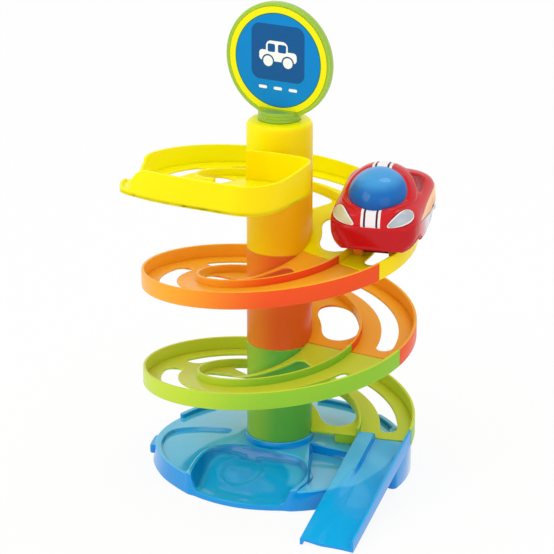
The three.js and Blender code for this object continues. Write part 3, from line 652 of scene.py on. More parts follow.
def upperRim(turn, top):
    # the wall grows higher beside the deck, and drops to the deck's floor where that begins
    low, high = deck["liftTurns"]
    lift = deck["lift"] * np.clip((turn - low) / (high - low), 0, 1)
    over = deck["besideTop"] * (1 - slope(turn, *deck["besideTurn"]))
    return np.minimum(top + lift, deck["floor"] + over)


def topColumn(section):
    # the upper column: a round shoulder, and a bore for the sign's neck
    r, w, bore, top, bend = (tower["columnRadius"], tower["columnWall"], deck["bore"], deck["columnTop"],
                             deck["shoulder"])
    under, low = top - bend, section["seam"] + tower["lift"]
    foot = under - deck["boreDepth"]
    arc = np.linspace(0, quarterTurn, 7)
    shoulder = [(r - bend * (1 - math.cos(a)), top - bend * (1 - math.sin(a))) for a in arc]
    return [(r, low), *shoulder, (bore, top), (bore, foot), (bore + w, foot), (bore + w, under - w),
            (r - w, under - 2 * w), (r - w, low)]


section = sections["upper_track"]
shell = Shell()
addTrack(shell, section, upperRim)
addDeck(shell, section)
lathe(shell, topColumn(section))
shell.build("upper_track_moulding", [yellow], "upper_track", "upper_track")
print("upper track and deck made")


# Sign: a clear green disc with a printed label on each side, on a ribbed neck

sign = {
    "radius": 50.4, "thickness": 6.0, "rim": 3.4, "labelRadius": 46.7, "labelThickness": 0.6,
    "recess": 0.9, "edge": 0.9, "centre": 370.8, "neckRadius": 18.0, "neckLow": 299.5, "neckTop": 328.2,
    "neckWall": 2.4, "neckEdge": 0.25, "ribs": 3, "ribPitch": 2.9, "ribStart": 0.6,
    "ribLine": [(0.0, 0.0), (0.6, 0.3), (0.6, 1.305), (0.0, 1.595)],
}


def standing(profile, centre, sides=128):
    # a closed (radius, depth) profile turned about the sign's own axis, which runs along Y
    profile = np.array(profile, float)
    angle = np.linspace(0, 2 * np.pi, sides, endpoint=False)[:, None]
    x = profile[None, :, 0] * np.cos(angle)
    z = centre + profile[None, :, 0] * np.sin(angle)
    return np.stack(np.broadcast_arrays(x, profile[None, :, 1], z), axis=-1)


def signHolder():
    shell = Shell()
    half, outer = sign["thickness"] / 2, sign["radius"]
    deep, inner = half - sign["recess"], outer - sign["rim"]
    disc = [(0, -deep), (inner, -deep), (inner, -half), (outer, -half),
            (outer, half), (inner, half), (inner, deep), (0, deep)]
    shell.grid(standing(softened(disc, sign["edge"], closed=False), sign["centre"]), closedAlong=True)
    r, low, top, wall = sign["neckRadius"], sign["neckLow"], sign["neckTop"], sign["neckWall"]
    starts = [deck["columnTop"] + sign["ribStart"] + sign["ribPitch"] * i for i in range(sign["ribs"])]
    ribs = [(r + across, start + up) for start in starts for across, up in sign["ribLine"]]
    neck = [(r, low), *ribs, (r, top), (0.0, top), (0.0, top - wall), (r - wall, top - wall),
            (r - wall, low)]
    lathe(shell, softened(neck, sign["neckEdge"]))
    shell.build("sign_moulding", [clearGreen], "sign", "sign_holder")


def signLabel(name, side):
    shell = Shell()
    face = side * sign["thickness"] / 2
    back = face - side * sign["labelThickness"]
    profile = [(0, back), (sign["labelRadius"], back), (sign["labelRadius"], face), (0, face)]
    shell.grid(standing(profile, sign["centre"]), closedAlong=True)
    shell.build(name + "_print", [labelPrint], "sign", name)


def clearPlastic():
    # tinted see-through plastic: the tint is in its colour, light goes through it
    finish = Finish("clear_lime_plastic", IOR=1.49, Transmission_Weight=0.35, Roughness=0.12)
    colour = finish.mix(finish.noise(30.0), (188, 226, 56), (170, 218, 60))
    finish.feed("Base Color", colour)
    finish.bump(finish.noise(60.0), 0.0001, 0.3)
    return finish.material


# Millimetres from the sign's middle. A bar is its middle, its half sizes and its corner
label = {
    "square": (0, 6.5, 25.6, 24.4, 8.0),
    "body": [(0, 3.5, 18.0, 4.6, 3.2), (-1.0, 10.0, 10.5, 6.6, 5.0)],
    "windows": [(-6.3, 10.4, 3.6, 3.6, 1.6), (4.0, 10.4, 4.0, 3.6, 1.6)],
    "dashes": [(-14.5, -24.5, 4.0, 1.3, 1.2), (0, -24.5, 4.0, 1.3, 1.2), (14.5, -24.5, 4, 1.3, 1.2)],
    "wheels": [(-9.5, -1.4), (9.5, -1.4)], "tyre": 4.6, "arch": 6.0, "soft": 0.25,
    "rings": [(40.4, (20, 110, 90)), (41.2, (244, 238, 14))], "ringSoft": 0.4,
}


def labelInk():
    # printed rings, a dark rounded square and a plain car pictogram, drawn by distances
    finish = Finish("sign_label_ink", IOR=1.46, Specular_IOR_Level=0.12)
    x, y, z = finish.axes(finish.place)
    across, up = x * 1000, z * 1000 - sign["centre"]
    front = y.below(0, 1e-5)
    across = across * (front * 2 - 1)
    reach = (across ** 2 + up ** 2) ** 0.5

    def bar(middleX, middleY, halfX, halfY, corner):
        # inside a rounded rectangle
        outX = ((across - middleX).size() - (halfX - corner)).atLeast(0)
        outY = ((up - middleY).size() - (halfY - corner)).atLeast(0)
        return ((outX ** 2 + outY ** 2) ** 0.5).below(corner, label["soft"])

    def dot(middleX, middleY, radius):
        return (((across - middleX) ** 2 + (up - middleY) ** 2) ** 0.5).below(radius, label["soft"])

    def joined(shapes):
        whole = shapes[0]
        for shape in shapes[1:]:
            whole = whole.atLeast(shape)
        return whole

    blue = finish.mix(finish.noise(26.0), (10, 128, 206), (12, 140, 210))
    colour = finish.mix(bar(*label["square"]), blue, (22, 88, 150))
    body, windows, dashes = (joined([bar(*values) for values in label[key]])
                             for key in ("body", "windows", "dashes"))
    tyres, gaps = (joined([dot(*place, label[key]) for place in label["wheels"]])
                   for key in ("tyre", "arch"))
    car = (body - gaps).atLeast(0).atLeast(tyres) - windows
    colour = finish.mix(car.atLeast(dashes).atLeast(0), colour, (246, 248, 246))
    for radius, tone in label["rings"]:
        colour = finish.mix(reach.above(radius, label["ringSoft"]), colour, tone)
    finish.feed("Base Color", colour)
    finish.feed("Roughness", 0.3 + finish.noise(90.0) * 0.1)
    finish.bump(finish.noise(220.0), 0.00003, 0.4)
    return finish.material


clearGreen, labelPrint = clearPlastic(), labelInk()
signHolder()
signLabel("sign_label_front", -1)
signLabel("sign_label_back", 1)
print("sign made")


# Exit ramp: a cross-section carried from the track's end down to the ground

ramp = {
    "width": 47.0, "wall": 2.4, "wallHeight": (12.0, 8.0), "ledge": (5.5, 3.9), "ledgeWidth": 15.0,
    "thickness": 2.2, "topFloor": 33.1, "lowMiddle": (120.24, -136.68), "endTurn": 8.3,
    "endHollow": 3.0, "endHollowShare": 0.8, "topBearing": 102.785, "outer": 119.7, "edge": 0.7,
    "footRound": 1.0, "ledgeEnd": 9.0, "ledgeTurn": (0.25, 0.75), "ledgeReach": (1.4, 22.0),
    "ledgeSoften": (0.15, 0.75), "floorRuns": [(1.5, 12.0, 8), (12.6, 18.0, 14), (19.5, 43.6, 14)],
    "underFoot": 2.4, "underPlaces": (44.0, 36.0, 28.0, 20.0, 18.0, 16.5, 15.0, 13.5, 12.0, 8.0, 3.0),
}


def rampFloor(t):
    return ramp["topFloor"] + (ramp["thickness"] - ramp["topFloor"]) * t


def rampPlace(t, across, up):
    # t runs down the ramp, across from its left edge, up from its floor
    high = polar(ramp["outer"] - ramp["width"] + across, ramp["topBearing"])
    turn, half = math.radians(ramp["endTurn"]), ramp["width"] / 2
    aside = (across - half)[..., None] * np.array([math.cos(turn), math.sin(turn)])
    hollow = ramp["endHollow"] * (1 - ((across - half) / half) ** 2)
    hollow = hollow[..., None] * np.array([-math.sin(turn), math.cos(turn)]) * ramp["endHollowShare"]
    low = np.array(ramp["lowMiddle"]) + aside + hollow
    plan = high + (low - high) * t[..., None]
    return np.concatenate([plan, (rampFloor(t) + up)[..., None]], axis=-1)


def rampLedge(across, t):
    # the ledge's step gets lower and softer down the ramp: height * (1 - blendStep)
    height = ramp["ledge"][0] + (ramp["ledge"][1] - ramp["ledge"][0]) * t
    middle = ramp["ledgeWidth"] + (ramp["ledgeEnd"] - ramp["ledgeWidth"]) * slope(t, *ramp["ledgeTurn"])
    reach = ramp["ledgeReach"][0] + ramp["ledgeReach"][1] * slope(t, *ramp["ledgeSoften"])
    return height * (1 - blendStep((across - middle) / reach + 0.5))


def exitRamp():
    # The section goes once round: up the left edge, over the ledge and the floor, over the wall
    # and back underneath. Its corners are quarter circles.
    t = np.linspace(0, 1, 61)[:, None]
    width, e, under = ramp["width"], ramp["edge"], -ramp["thickness"]
    foot = width - ramp["wall"]
    wallTop = ramp["wallHeight"][0] + (ramp["wallHeight"][1] - ramp["wallHeight"][0]) * t
    quarter = np.linspace(0, quarterTurn, 4)
    bends = list(zip(np.cos(quarter), np.sin(quarter)))
    line = [(0.0, under)]
    line += [(e * (1 - c), rampLedge(0.0, t) - e * (1 - s)) for c, s in bends]
    places = np.concatenate([np.linspace(*run) for run in ramp["floorRuns"]])
    line += [(a, rampLedge(a, t)) for a in places]
    line += [(foot - ramp["footRound"] + s, 1.0 - c) for c, s in bends]
    line += [(foot + e * (1 - c), wallTop - e * (1 - s)) for c, s in bends]
    line += [(width - e * (1 - s), wallTop - e * (1 - c)) for c, s in bends]
    line += [(width, under)]
    line += [(a, rampLedge(a, t) + under) for a in ramp["underPlaces"]]
    line += [(ramp["underFoot"], under)]
    across, up = (np.concatenate([np.broadcast_to(v, t.shape) for v in column], axis=1)
                  for column in zip(*line))
    points = rampPlace(np.broadcast_to(t, across.shape), across, up)
    shell = Shell()
    shell.grid(points, closedAcross=True)
    for row in (0, -1):
        flatEnd = np.column_stack([across[row], up[row]])
        ends, triangles = fill([Outline(flatEnd).points], 50.0)
        order = [int(np.argmin(((flatEnd - end) ** 2).sum(axis=1))) for end in ends]
        shell.add(points[row][order], list(triangles))
    shell.build("exit_ramp_moulding", [baseBlue], "exit_ramp", "exit_ramp", sharpAngle=30)


# Base: a round tray with a parking bay, a sunk panel, four tabs, a block, a pillar and the hub

base = {
    "radius": 112.8, "height": 16.8, "lean": 2.4, "wall": 2.4, "panelDrop": 3.0, "bayFloor": 4.8,
    "ridgeHeight": 2.0, "bayWall": 8.5, "bayRise": 12.5, "bayClimb": (-92.0, -42.0),
    "dimpleRadius": 19.5, "dimpleDepth": 1.5, "dimplePlace": (-5.0, -58.0), "edge": 1.2,
    "bearings": [
        (-165, 1), (-145, 1), (-125, 0.99), (-105, 1), (-85, 1.01), (-68, 1.01), (-52, 0.975),
        (-35, 0.945), (-12, 0.94), (12, 0.94), (38, 0.94), (62, 0.95), (85, 0.97), (105, 0.99),
        (125, 1), (150, 1), (175, 1),
    ],
    "mound": 8.5, "moundInner": 36.0, "moundOuter": 104.0, "shelfFrom": (29.0, 3.0),
    "shelfAlong": (0.447, -0.894), "shelfEnd": 92.0, "shelfBack": 150, "shelfEase": 2.5,
    "panelEase": 0.9, "ridgeHalf": 2.6, "bayPower": 2.4, "dimpleEase": 4.0, "leastUnder": 1.0,
    "netSpacing": 4.0,
    "bay": [
        (-0.22, -1.2), (-0.305, -0.86), (-0.347, -0.7), (-0.37, -0.569), (-0.368, -0.475),
        (-0.335, -0.405), (-0.25, -0.348), (-0.096, -0.328), (0.079, -0.321), (0.23, -0.303),
        (0.34, -0.305), (0.42, -0.355), (0.49, -0.45), (0.513, -0.569), (0.508, -0.69), (0.505, -0.79),
        (0.53, -0.88), (0.56, -1.2),
    ],
    "panel": [
        (-0.87, -0.13), (-0.7, -0.05), (-0.5, -0.03), (-0.4, -0.06), (-0.43, -0.2), (-0.47, -0.38),
        (-0.48, -0.55), (-0.44, -0.72), (-0.4, -0.79), (-0.56, -0.71), (-0.69, -0.6), (-0.81, -0.45),
        (-0.885, -0.27),
    ],
    "tabs": [
        (105.0, 116.4, -78, -66, 4.5, 12.5), (106.5, 111.6, -118, -96, 5.0, 20.4),
        (106.5, 111.6, 168, 190, 5.0, 20.4), (106.5, 111.6, 134, 154, 5.0, 20.4),
    ],
    "tabCorner": 2.4, "solidEdge": 0.9, "block": (30.6, 71.5, 90.5, 126, 2.5),
    "blockHeights": (10.0, 24.4), "pillar": (98.0, 117.0, 88, 124, 4.5), "pillarTop": 30.0,
    "pillarRun": 158.0, "pillarGap": 0.4, "hubRadius": 30.0, "hubTop": 31.2, "hubLow": 0.2,
    "hubFloor": 3.0, "hubEdge": 0.8, "spigot": (25.7, 2.5, 10),
}


def insideDistance(points, loop):
    # distance to the nearest edge of a closed line, counted positive inside it
    a, b = loop, np.roll(loop, -1, axis=0)
    along = b - a
    length = (along ** 2).sum(axis=1)
    away = points[:, None] - a[None]
    share = np.clip((away * along[None]).sum(axis=2) / length[None], 0, 1)
    gap = away - share[..., None] * along[None]
    distance = np.sqrt((gap ** 2).sum(axis=2).min(axis=1))
    return np.where(within(points, loop), distance, -distance)


def baseOutline():
    rows = np.array([polar(base["radius"] * share, bearing) for bearing, share in base["bearings"]])
    return Outline(evenly(smoothClosed(rows, 1400), 420))


def smoothLoop(shares, count):
    return evenly(smoothClosed(np.array(shares) * base["radius"], 1200), count)


def baseHeight(points, bay, panel):
    # A flat rim with a cone rising to the hub, cut away to a shelf on the right. The panel is
    # sunk in it. A round ridge runs along the bay, and inside it the wall falls to the floor by
    # a power of what is left of its width. The floor climbs to the back and has a shallow dish.
    reach, bearing = np.linalg.norm(points, axis=1), bearingOf(points)
    along, ease = base["shelfAlong"], base["shelfEase"]
    past = (points - np.array(base["shelfFrom"])) @ np.array([-along[1], along[0]])
    shelf = slope(past, 0, ease) * slope(bearing, base["shelfEnd"], -ease)
    shelf = shelf * (np.abs(bearing) < base["shelfBack"])
    rise = np.clip((base["moundOuter"] - reach) / (base["moundOuter"] - base["moundInner"]), 0, 1)
    plate = base["height"] + base["mound"] * rise * (1 - shelf)
    inPanel = insideDistance(points, panel)
    plate = plate - base["panelDrop"] * slope(inPanel, -base["panelEase"], 2 * base["panelEase"])
    inBay, half = insideDistance(points, bay), base["ridgeHalf"]
    ridge = base["ridgeHeight"] * np.sqrt(np.clip(1 - ((inBay + half) / half) ** 2, 0, 1))
    left = np.clip(1 - inBay / base["bayWall"], 0, 1) ** base["bayPower"]
    dimple = np.linalg.norm(points - np.array(base["dimplePlace"]), axis=1)
    dish = base["dimpleDepth"] * slope(dimple, base["dimpleRadius"], -base["dimpleEase"])
    low, high = base["bayClimb"]
    floor = base["bayFloor"] + base["bayRise"] * slope(points[:, 1], low, high - low) - dish
    return np.where(inBay > 0, floor + (plate - floor) * left, plate + ridge)


def edgeOf(triangles):
    # the edges that only one triangle uses, in that triangle's direction
    edges = np.concatenate([triangles[:, [0, 1]], triangles[:, [1, 2]], triangles[:, [2, 0]]])
    key = np.sort(edges, axis=1)
    _, index, counts = np.unique(key, axis=0, return_index=True, return_counts=True)
    return edges[index[counts == 1]]


def thinLoop(line, apart=0.05):
    # an open line as a closed one, there and back a hair aside
    return np.concatenate([line, line[1:-1][::-1] + apart])


def creases(bay, panel):
    # lines that the net's edges follow: round the bay, the panel, the shelf's step and the dish
    lines = [bay.grown(d) for d in (5.2, 4.6, 3.6, 2.6, 1.6, 0.6, 0, -1.2, -2.6, -4.2, -6, -8, -10.5)]
    lines += [panel.grown(d) for d in (0.9, 0.3, -0.3, -0.9)]
    along, ease = np.array(base["shelfAlong"]), base["shelfEase"]
    run, aside = np.linspace(0, 96.0, 40)[:, None], np.array([-along[1], along[0]])
    for share in (0, 0.5, 1):
        lines.append(thinLoop(np.array(base["shelfFrom"]) + along * run + aside * ease * share))
        lines.append(thinLoop(polar(np.linspace(31.0, 103.0, 30), base["shelfEnd"] - ease * share)))
    middle, around = np.array(base["dimplePlace"]), np.linspace(0, 360, 64, endpoint=False)
    return lines + [middle + polar(base["dimpleRadius"] - d, around) for d in (0, 2, 4)]


def baseTray():
    shell = Shell()
    bay = Outline(smoothLoop(base["bay"], 260))
    panel = Outline(smoothLoop(base["panel"], 200))
    rim = baseOutline().grown(-base["lean"] - base["edge"])
    flat, triangles = fill([rim], base["netSpacing"], creases(bay, panel))
    heights = baseHeight(flat, bay.points, panel.points)
    under = np.maximum(heights - base["wall"], base["leastUnder"])
    shell.add(np.column_stack([flat, heights]), list(triangles))
    # the rim turns over a quarter circle, leans out to the ground and goes back up inside
    corners, index = np.unique(edgeOf(triangles), return_inverse=True)
    index = index.reshape(-1, 2)
    out = flat[corners] / np.linalg.norm(flat[corners], axis=1, keepdims=True)
    z, edge = heights[corners], base["edge"]
    spread = edge + base["lean"] * np.clip(z / base["height"], 0, 1)
    turns = np.linspace(0, quarterTurn, 5)
    rows = [(edge * math.sin(turn) + 0 * z, z - edge * (1 - math.cos(turn))) for turn in turns]
    rows += [(spread - 0.3, 0.5 + 0 * z), (spread - 0.8, 0 * z), (spread - base["wall"], 0 * z),
             (0 * z, under[corners])]
    strip = np.array([np.column_stack([flat[corners] + out * push[:, None], height])
                      for push, height in rows])
    count = len(corners)
    faces = []
    for k in range(len(rows) - 1):
        a, b = index[:, 1] + k * count, index[:, 0] + k * count
        faces += list(np.column_stack([a, b, b + count, a + count]))
    shell.add(strip, faces)
    shell.add(np.column_stack([flat, under]), list(triangles[:, ::-1]))
    for *place, low, top in base["tabs"]:
        tab = SectorOutline(*place, base["tabCorner"])
        shell.plate([tab], level(top), top - low, base["solidEdge"])
    low, top = base["blockHeights"]
    shell.plate([SectorOutline(*base["block"])], level(top), 0.0, base["solidEdge"], sole=low)
    shell.plate([SectorOutline(*base["pillar"])], pillarTop, 0.0, base["solidEdge"], sole=0.0)
    r, low, top, inside = base["hubRadius"], base["hubLow"], base["hubTop"], base["hubFloor"]
    spigot, wall, rise = base["spigot"]
    hub = [(r, low), (r, top), (spigot, top), (spigot, top + rise), (spigot - wall, top + rise),
           (spigot - wall, inside), (0.0, inside), (0.0, low)]
    lathe(shell, softened(hub, base["hubEdge"]))
    shell.build("base_moulding", [baseBlue], "root", "base_tray", sharpAngle=32)


def pillarTop(points):
    # flat, but kept under the ramp where the ramp passes over it
    bearing = math.radians(ramp["topBearing"])
    past = points[:, 0] * math.cos(bearing) + points[:, 1] * math.sin(bearing)
    floor = rampFloor(np.clip(-past / base["pillarRun"], 0, 1))
    under = floor - ramp["thickness"] - base["pillarGap"]
    return np.where(past < 1.0, np.minimum(under, base["pillarTop"]), base["pillarTop"])


# The base's painted light and shade. Lengths in metres here. Most pairs are an edge and its softness,
# and what is called beyond is x squared plus y squared
glossy = {
    "plateHeight": (0.0125, 0.003), "plateBeyond": (0.0127, 0.0008), "bayMiddle": (-0.008, -0.064),
    "bayReach": (0.05, 0.034), "bayEdge": (1.0, 0.2), "faceUp": (0.6, 0.5), "wallFacing": (0.85, 0.4),
    "wallBeyond": (0.0099, 0.0006), "wallFront": (-0.034, 0.004), "wallHeight": (0.03, 0.002),
    "wallShare": 0.8,
}


def glossyBlue():
    finish = Finish("glossy_blue_plastic", IOR=1.5, Specular_IOR_Level=0.2, Coat_Weight=0.4,
                    Coat_Roughness=0.04)
    mottle = finish.noise(24.0, 3.0)
    x, y, z = finish.axes(finish.place)
    up = finish.facing()[2]
    beyond = x ** 2 + y ** 2
    middle, reach = glossy["bayMiddle"], glossy["bayReach"]
    away = ((x - middle[0]) / reach[0]) ** 2 + ((y - middle[1]) / reach[1]) ** 2
    outsideBay = away.above(*glossy["bayEdge"])
    plate = z.above(*glossy["plateHeight"]) * beyond.below(*glossy["plateBeyond"]) * outsideBay
    # painted light: the plate round the bay takes a lighter blue
    colour = finish.mix(plate, (0, 178, 244), (84, 204, 255))
    colour = finish.mix(mottle * 0.2, colour, (0, 166, 240))
    # painted shade: faces that don't look up take a darker blue
    colour = finish.mix(up.above(*glossy["faceUp"]), (0, 150, 228), colour)
    # painted shade: the bay's wall, low in front of the hub, takes a darker blue
    bayWall = up.below(*glossy["wallFacing"]) * beyond.below(*glossy["wallBeyond"])
    bayWall = bayWall * y.below(*glossy["wallFront"]) * z.below(*glossy["wallHeight"]) * glossy["wallShare"]
    colour = finish.mix(bayWall, colour, (0, 122, 186))
    finish.feed("Base Color", colour)
    finish.feed("Roughness", 0.12 + finish.noise(140.0) * 0.05)
    finish.bump(finish.noise(34.0, 2.0), 0.00015, 0.25)
    return finish.material


baseBlue = glossyBlue()
exitRamp()
print("exit ramp made")
baseTray()
print("base made")


# Car: a chubby body with a dome windscreen, almond headlights and racing stripes

# endLift, noseLift and sidePower end with where their slope starts and its span
car = {
    "spot": (88.838, 23.804, 216.118), "ahead": (0.255648, -0.954092, -0.156054),
    "left": (0.965926, 0.258819, 0.0), "up": (0.04039, -0.150737, 0.987748), "halfLength": 51.6,
    "halfWidth": 38.5, "gap": 14.2, "belt": 31.9, "shoulder": 22.4, "shellPower": 3, "nose": (20, 3.6),
    "tail": (25, 3.8), "tailTop": (22, 2.6), "endLift": (2.5, 44, 8), "noseLift": (2.2, 26, 16),
    "cabin": (3.1, 40.0, 42.0, 33.2, 32.0), "cabinEase": (3.0, 0.75), "sidePower": (7, 4.4, 5, 30),
    "sideDepth": 21.0, "innerScale": (0.96, 0.94), "innerTop": 0.93,
    "glass": (11.4, 48.4, 32.6, 27.6, 25.0), "glassScale": 0.93, "archPlaces": (-26.0, 31.0),
    "archRadius": 13.8, "archMiddle": 9.5,
    "sideWindow": [(0.0, 49.5), (-10.0, 63.5), (-19.0, 62.0), (-29.0, 50.0)], "lampAngle": (29.5, 10.4),
    "lampLean": 1.5, "lampPower": 2.1, "lampFrom": 50.9, "lampTo": 33.0, "lampCrown": (0.25, 1.1),
    "lampUnder": 1.2, "lampBorder": (0.78, 0.9),
}

# What stands out of the plain skin or is sunk in it. Most pairs are where a slope starts and its span
trim = {
    "frame": 0.9, "frameInner": (0.1, 0.7), "frameOuter": (3.2, 0.9), "frameAbove": 44, "bumper": 0.8,
    "bumperEnds": (36, 8), "bumperTop": (38.8, -1.0), "groove": 0.5, "grooveAt": (39.6, 0.6),
    "lip": 0.6, "lipAt": (1.34, 0.03), "window": 1.3, "windowEdge": (-0.3, 1.0), "windowAside": 9,
    "windowAbove": 46, "rear": 1.0, "rearMiddle": 58.0, "rearSize": (15.0, 7.0),
    "rearEdge": (1.0, -0.1), "rearBefore": -12, "lamp": 0.7, "lampEdge": (1.12, -0.1),
    "lampLength": 1.02, "outline": (1.3, 1.07), "darkFrom": (0.7, 0.6),
}


def carPlace(points):
    # from the car's own axes (ahead, left, up from the road) to the model's
    axes = np.array([car["ahead"], car["left"], car["up"]])
    return np.array(car["spot"]) + points @ axes


def rounded(share, power):
    # 1 at the start, falling to 0 at 1 like the rim of a superellipse
    return (1 - np.clip(share, 0, 1) ** power) ** (1 / power)


def ellipseReach(along, cos, sin, belt, middle, reach):
    # how far a ray from the belt's middle goes inside an ellipsoid, in the plane at this place
    left = 1 - ((along - middle[0]) / reach[0]) ** 2
    lift = middle[1] - belt
    a = (cos / reach[1]) ** 2 + (sin / reach[2]) ** 2
    b = -2 * sin * lift / reach[2] ** 2
    c = (lift / reach[2]) ** 2 - left
    inside = b * b - 4 * a * c
    return np.where(inside > 0, (-b + np.sqrt(np.maximum(inside, 0))) / (2 * a), 0)


def carSkin(along, across):
    # across runs from -1 to 0 up the left side, 0 to 1 over the top and 1 to 2 down the right.
    # Over the top the distance from the belt's middle is the larger of a superellipse and an
    # ellipsoid, eased together; below the belt the sides fall straight and then turn in.
    along, across = np.broadcast_arrays(along, across)

    def tapered(ahead, start, power):
        return rounded((ahead - start) / (car["halfLength"] - start), power)

    nose = tapered(along, *car["nose"])
    half = car["halfWidth"] * nose * tapered(-along, *car["tail"])
    rise = car["shoulder"] * nose * tapered(-along, *car["tailTop"])
    angle = np.pi * np.clip(across, 0, 1)
    cos, sin = np.cos(angle), np.maximum(np.sin(angle), 0)
    power = car["shellPower"]
    shell = (np.abs(cos) / np.maximum(half, 1e-3)) ** power + (sin / np.maximum(rise, 1e-3)) ** power
    shell = shell ** (-1 / power)
    cabin = np.maximum(ellipseReach(along, cos, sin, car["belt"], car["cabin"][:2], car["cabin"][2:]), 0)
    near, share = car["cabinEase"]
    ease = np.maximum(near - np.abs(shell - cabin), 0) / near
    reach = np.maximum(shell, cabin) + ease ** 2 * share * (cabin > 0)
    fall = np.clip(-across, 0, 1) + np.clip(across - 1, 0, 1)
    (endLift, *ends), (noseLift, *front) = car["endLift"], car["noseLift"]
    low = car["gap"] + endLift * slope(np.abs(along), *ends) + noseLift * slope(along, *front)
    for place in car["archPlaces"]:
        away = np.clip(np.abs(along - place) / car["archRadius"], 0, 1)
        low = np.maximum(low, car["archMiddle"] + car["archRadius"] * np.sqrt(1 - away ** 2))
    drop = fall * (car["belt"] - low)
    most, less, *front = car["sidePower"]
    power = most - less * slope(along, *front)
    side = half * (1 - np.clip(drop / car["sideDepth"], 0, 1) ** power) ** (1 / power)
    y = np.where(fall > 0, np.sign(0.5 - across) * side, reach * cos)
    z = np.where(fall > 0, car["belt"] - drop, car["belt"] + reach * sin)
    return np.stack([along, y, z], axis=-1)


def lampTrack():
    # places along a headlight, and for each its share of the lamp's length, from -1 to 1
    track = np.linspace(car["lampTo"], car["lampFrom"], 60)
    line = carSkin(track, np.full_like(track, car["lampAngle"][0] / 180))
    run = np.concatenate([[0], np.cumsum(np.linalg.norm(np.diff(line, axis=0), axis=1))])
    return track, run / run[-1] * 2 - 1


def lampWidth(s):
    return car["lampAngle"][1] * rounded(np.abs(s), car["lampPower"])


def lampShare(along, across):
    # where a point of the skin lies on a headlight: share along it, and share across it
    angle = np.degrees(np.pi * np.minimum(across, 1 - across))
    track, share = lampTrack()
    s = np.interp(along, track, share, left=-2, right=2)
    return s, (angle - car["lampAngle"][0] - car["lampLean"] * s) / np.maximum(lampWidth(s), 1e-3)


def carNormals(points):
    n = np.cross(np.gradient(points, axis=0), np.gradient(points, axis=1))
    n = n / np.maximum(np.linalg.norm(n, axis=-1, keepdims=True), 1e-9)
    out = points - np.array([0, 0, car["belt"]])
    return n * np.where((n * out).sum(axis=-1, keepdims=True) < 0, -1, 1)


def glassGap(points):
    # roughly how far outside the windscreen's ellipsoid a point is
    x, z, a, b, c = car["glass"]
    scaled = (points - np.array([x, 0, z])) / np.array([a, b, c])
    return (np.linalg.norm(scaled, axis=-1) - 1) * b


def carDetail(points, along, across):
    # heights above the plain skin: frame round the glass, bumpers, lip, window and lamp recesses; and where
    # the painted shade of the recesses and round the lamps goes
    x, y, z = np.moveaxis(points, -1, 0)
    gap = glassGap(points)
    frame = trim["frame"] * slope(gap, *trim["frameInner"]) * (1 - slope(gap, *trim["frameOuter"]))
    frame = frame * (z > trim["frameAbove"])
    ends = slope(np.abs(x), *trim["bumperEnds"])
    middle, half = trim["grooveAt"]
    bumper = trim["bumper"] * slope(z, *trim["bumperTop"]) * ends
    bumper = bumper - trim["groove"] * np.exp(-((z - middle) / half) ** 2) * ends
    lip = trim["lip"] * slope(np.abs(across - 0.5), *trim["lipAt"])
    flat = np.column_stack([x.ravel(), z.ravel()])
    window = Outline(evenly(smoothClosed(car["sideWindow"], 200), 60)).points
    depth = insideDistance(flat, window).reshape(x.shape)
    side = trim["window"] * slope(depth, *trim["windowEdge"])
    side = side * (np.abs(y) > trim["windowAside"]) * (z > trim["windowAbove"])
    width, height = trim["rearSize"]
    rear = np.sqrt((y / width) ** 2 + ((z - trim["rearMiddle"]) / height) ** 2)
    rear = trim["rear"] * slope(rear, *trim["rearEdge"]) * (x < trim["rearBefore"])
    s, t = lampShare(along, across)
    onTop = (across > 0) & (across < 1)
    lamp = trim["lamp"] * slope(np.abs(t), *trim["lampEdge"]) * (np.abs(s) < trim["lampLength"]) * onTop
    outline = (np.abs(t) < trim["outline"][0]) & (np.abs(s) < trim["outline"][1]) & onTop
    # painted shade: the window and rear recesses and a ring round each lamp take the dark red
    dark = (side > trim["darkFrom"][0]) | (rear > trim["darkFrom"][1]) | outline
    return frame + bumper + lip - side - rear - lamp, dark


def carBody():
    v = np.linspace(-1, 1, 171)[:, None]
    along = np.sign(v) * (1 - (1 - np.abs(v)) ** 1.9) * car["halfLength"]
    across = np.concatenate([np.linspace(-1, 0, 17)[:-1], np.linspace(0, 1, 161),
                             np.linspace(1, 2, 17)[1:]])
    along, across = np.broadcast_arrays(along, across[None])
    points = carSkin(along, across)
    height, dark = carDetail(points, along, across)
    skin = points + carNormals(points) * height[..., None]
    middle = np.array([0, 0, car["belt"]])
    scale = np.where(points[..., 2:] > car["belt"], car["innerTop"], 1.0) * np.array([0, 0, 1])
    scale = scale + np.array([*car["innerScale"], 0])
    inner = (points - middle) * scale + middle
    ring = np.concatenate([skin, inner[:, ::-1]], axis=1)
    shell = Shell()
    shell.grid(carPlace(ring), closedAcross=True)
    columns = ring.shape[1]
    # faces in painted shade take the second material
    darkFaces = np.zeros((len(ring) - 1, columns), np.int32)
    darkFaces[:, :points.shape[1] - 1] = dark[:-1, :-1] & dark[1:, 1:]
    shell.parts = darkFaces.ravel().tolist()
    shell.build("car_body_shell", [carPaint, recessShadeRed], "car", "car_body", sharpAngle=40)


def carGlass():
    x, z, a, b, c = car["glass"]
    turn = np.linspace(0, 2 * np.pi, 120, endpoint=False)[None]
    rise = np.linspace(-0.12, quarterTurn, 50)[:, None]
    dome = np.stack(np.broadcast_arrays(
        x + a * np.cos(rise) * np.cos(turn), b * np.cos(rise) * np.sin(turn), z + c * np.sin(rise)), axis=-1)
    middle = np.array([x, 0, z])
    inner = (dome - middle) * car["glassScale"] + middle
    shell = Shell()
    shell.grid(carPlace(np.concatenate([dome[::-1], inner])), closedAcross=True)
    shell.build("car_glass_dome", [blueGlass], "car", "car_windscreen", sharpAngle=50)


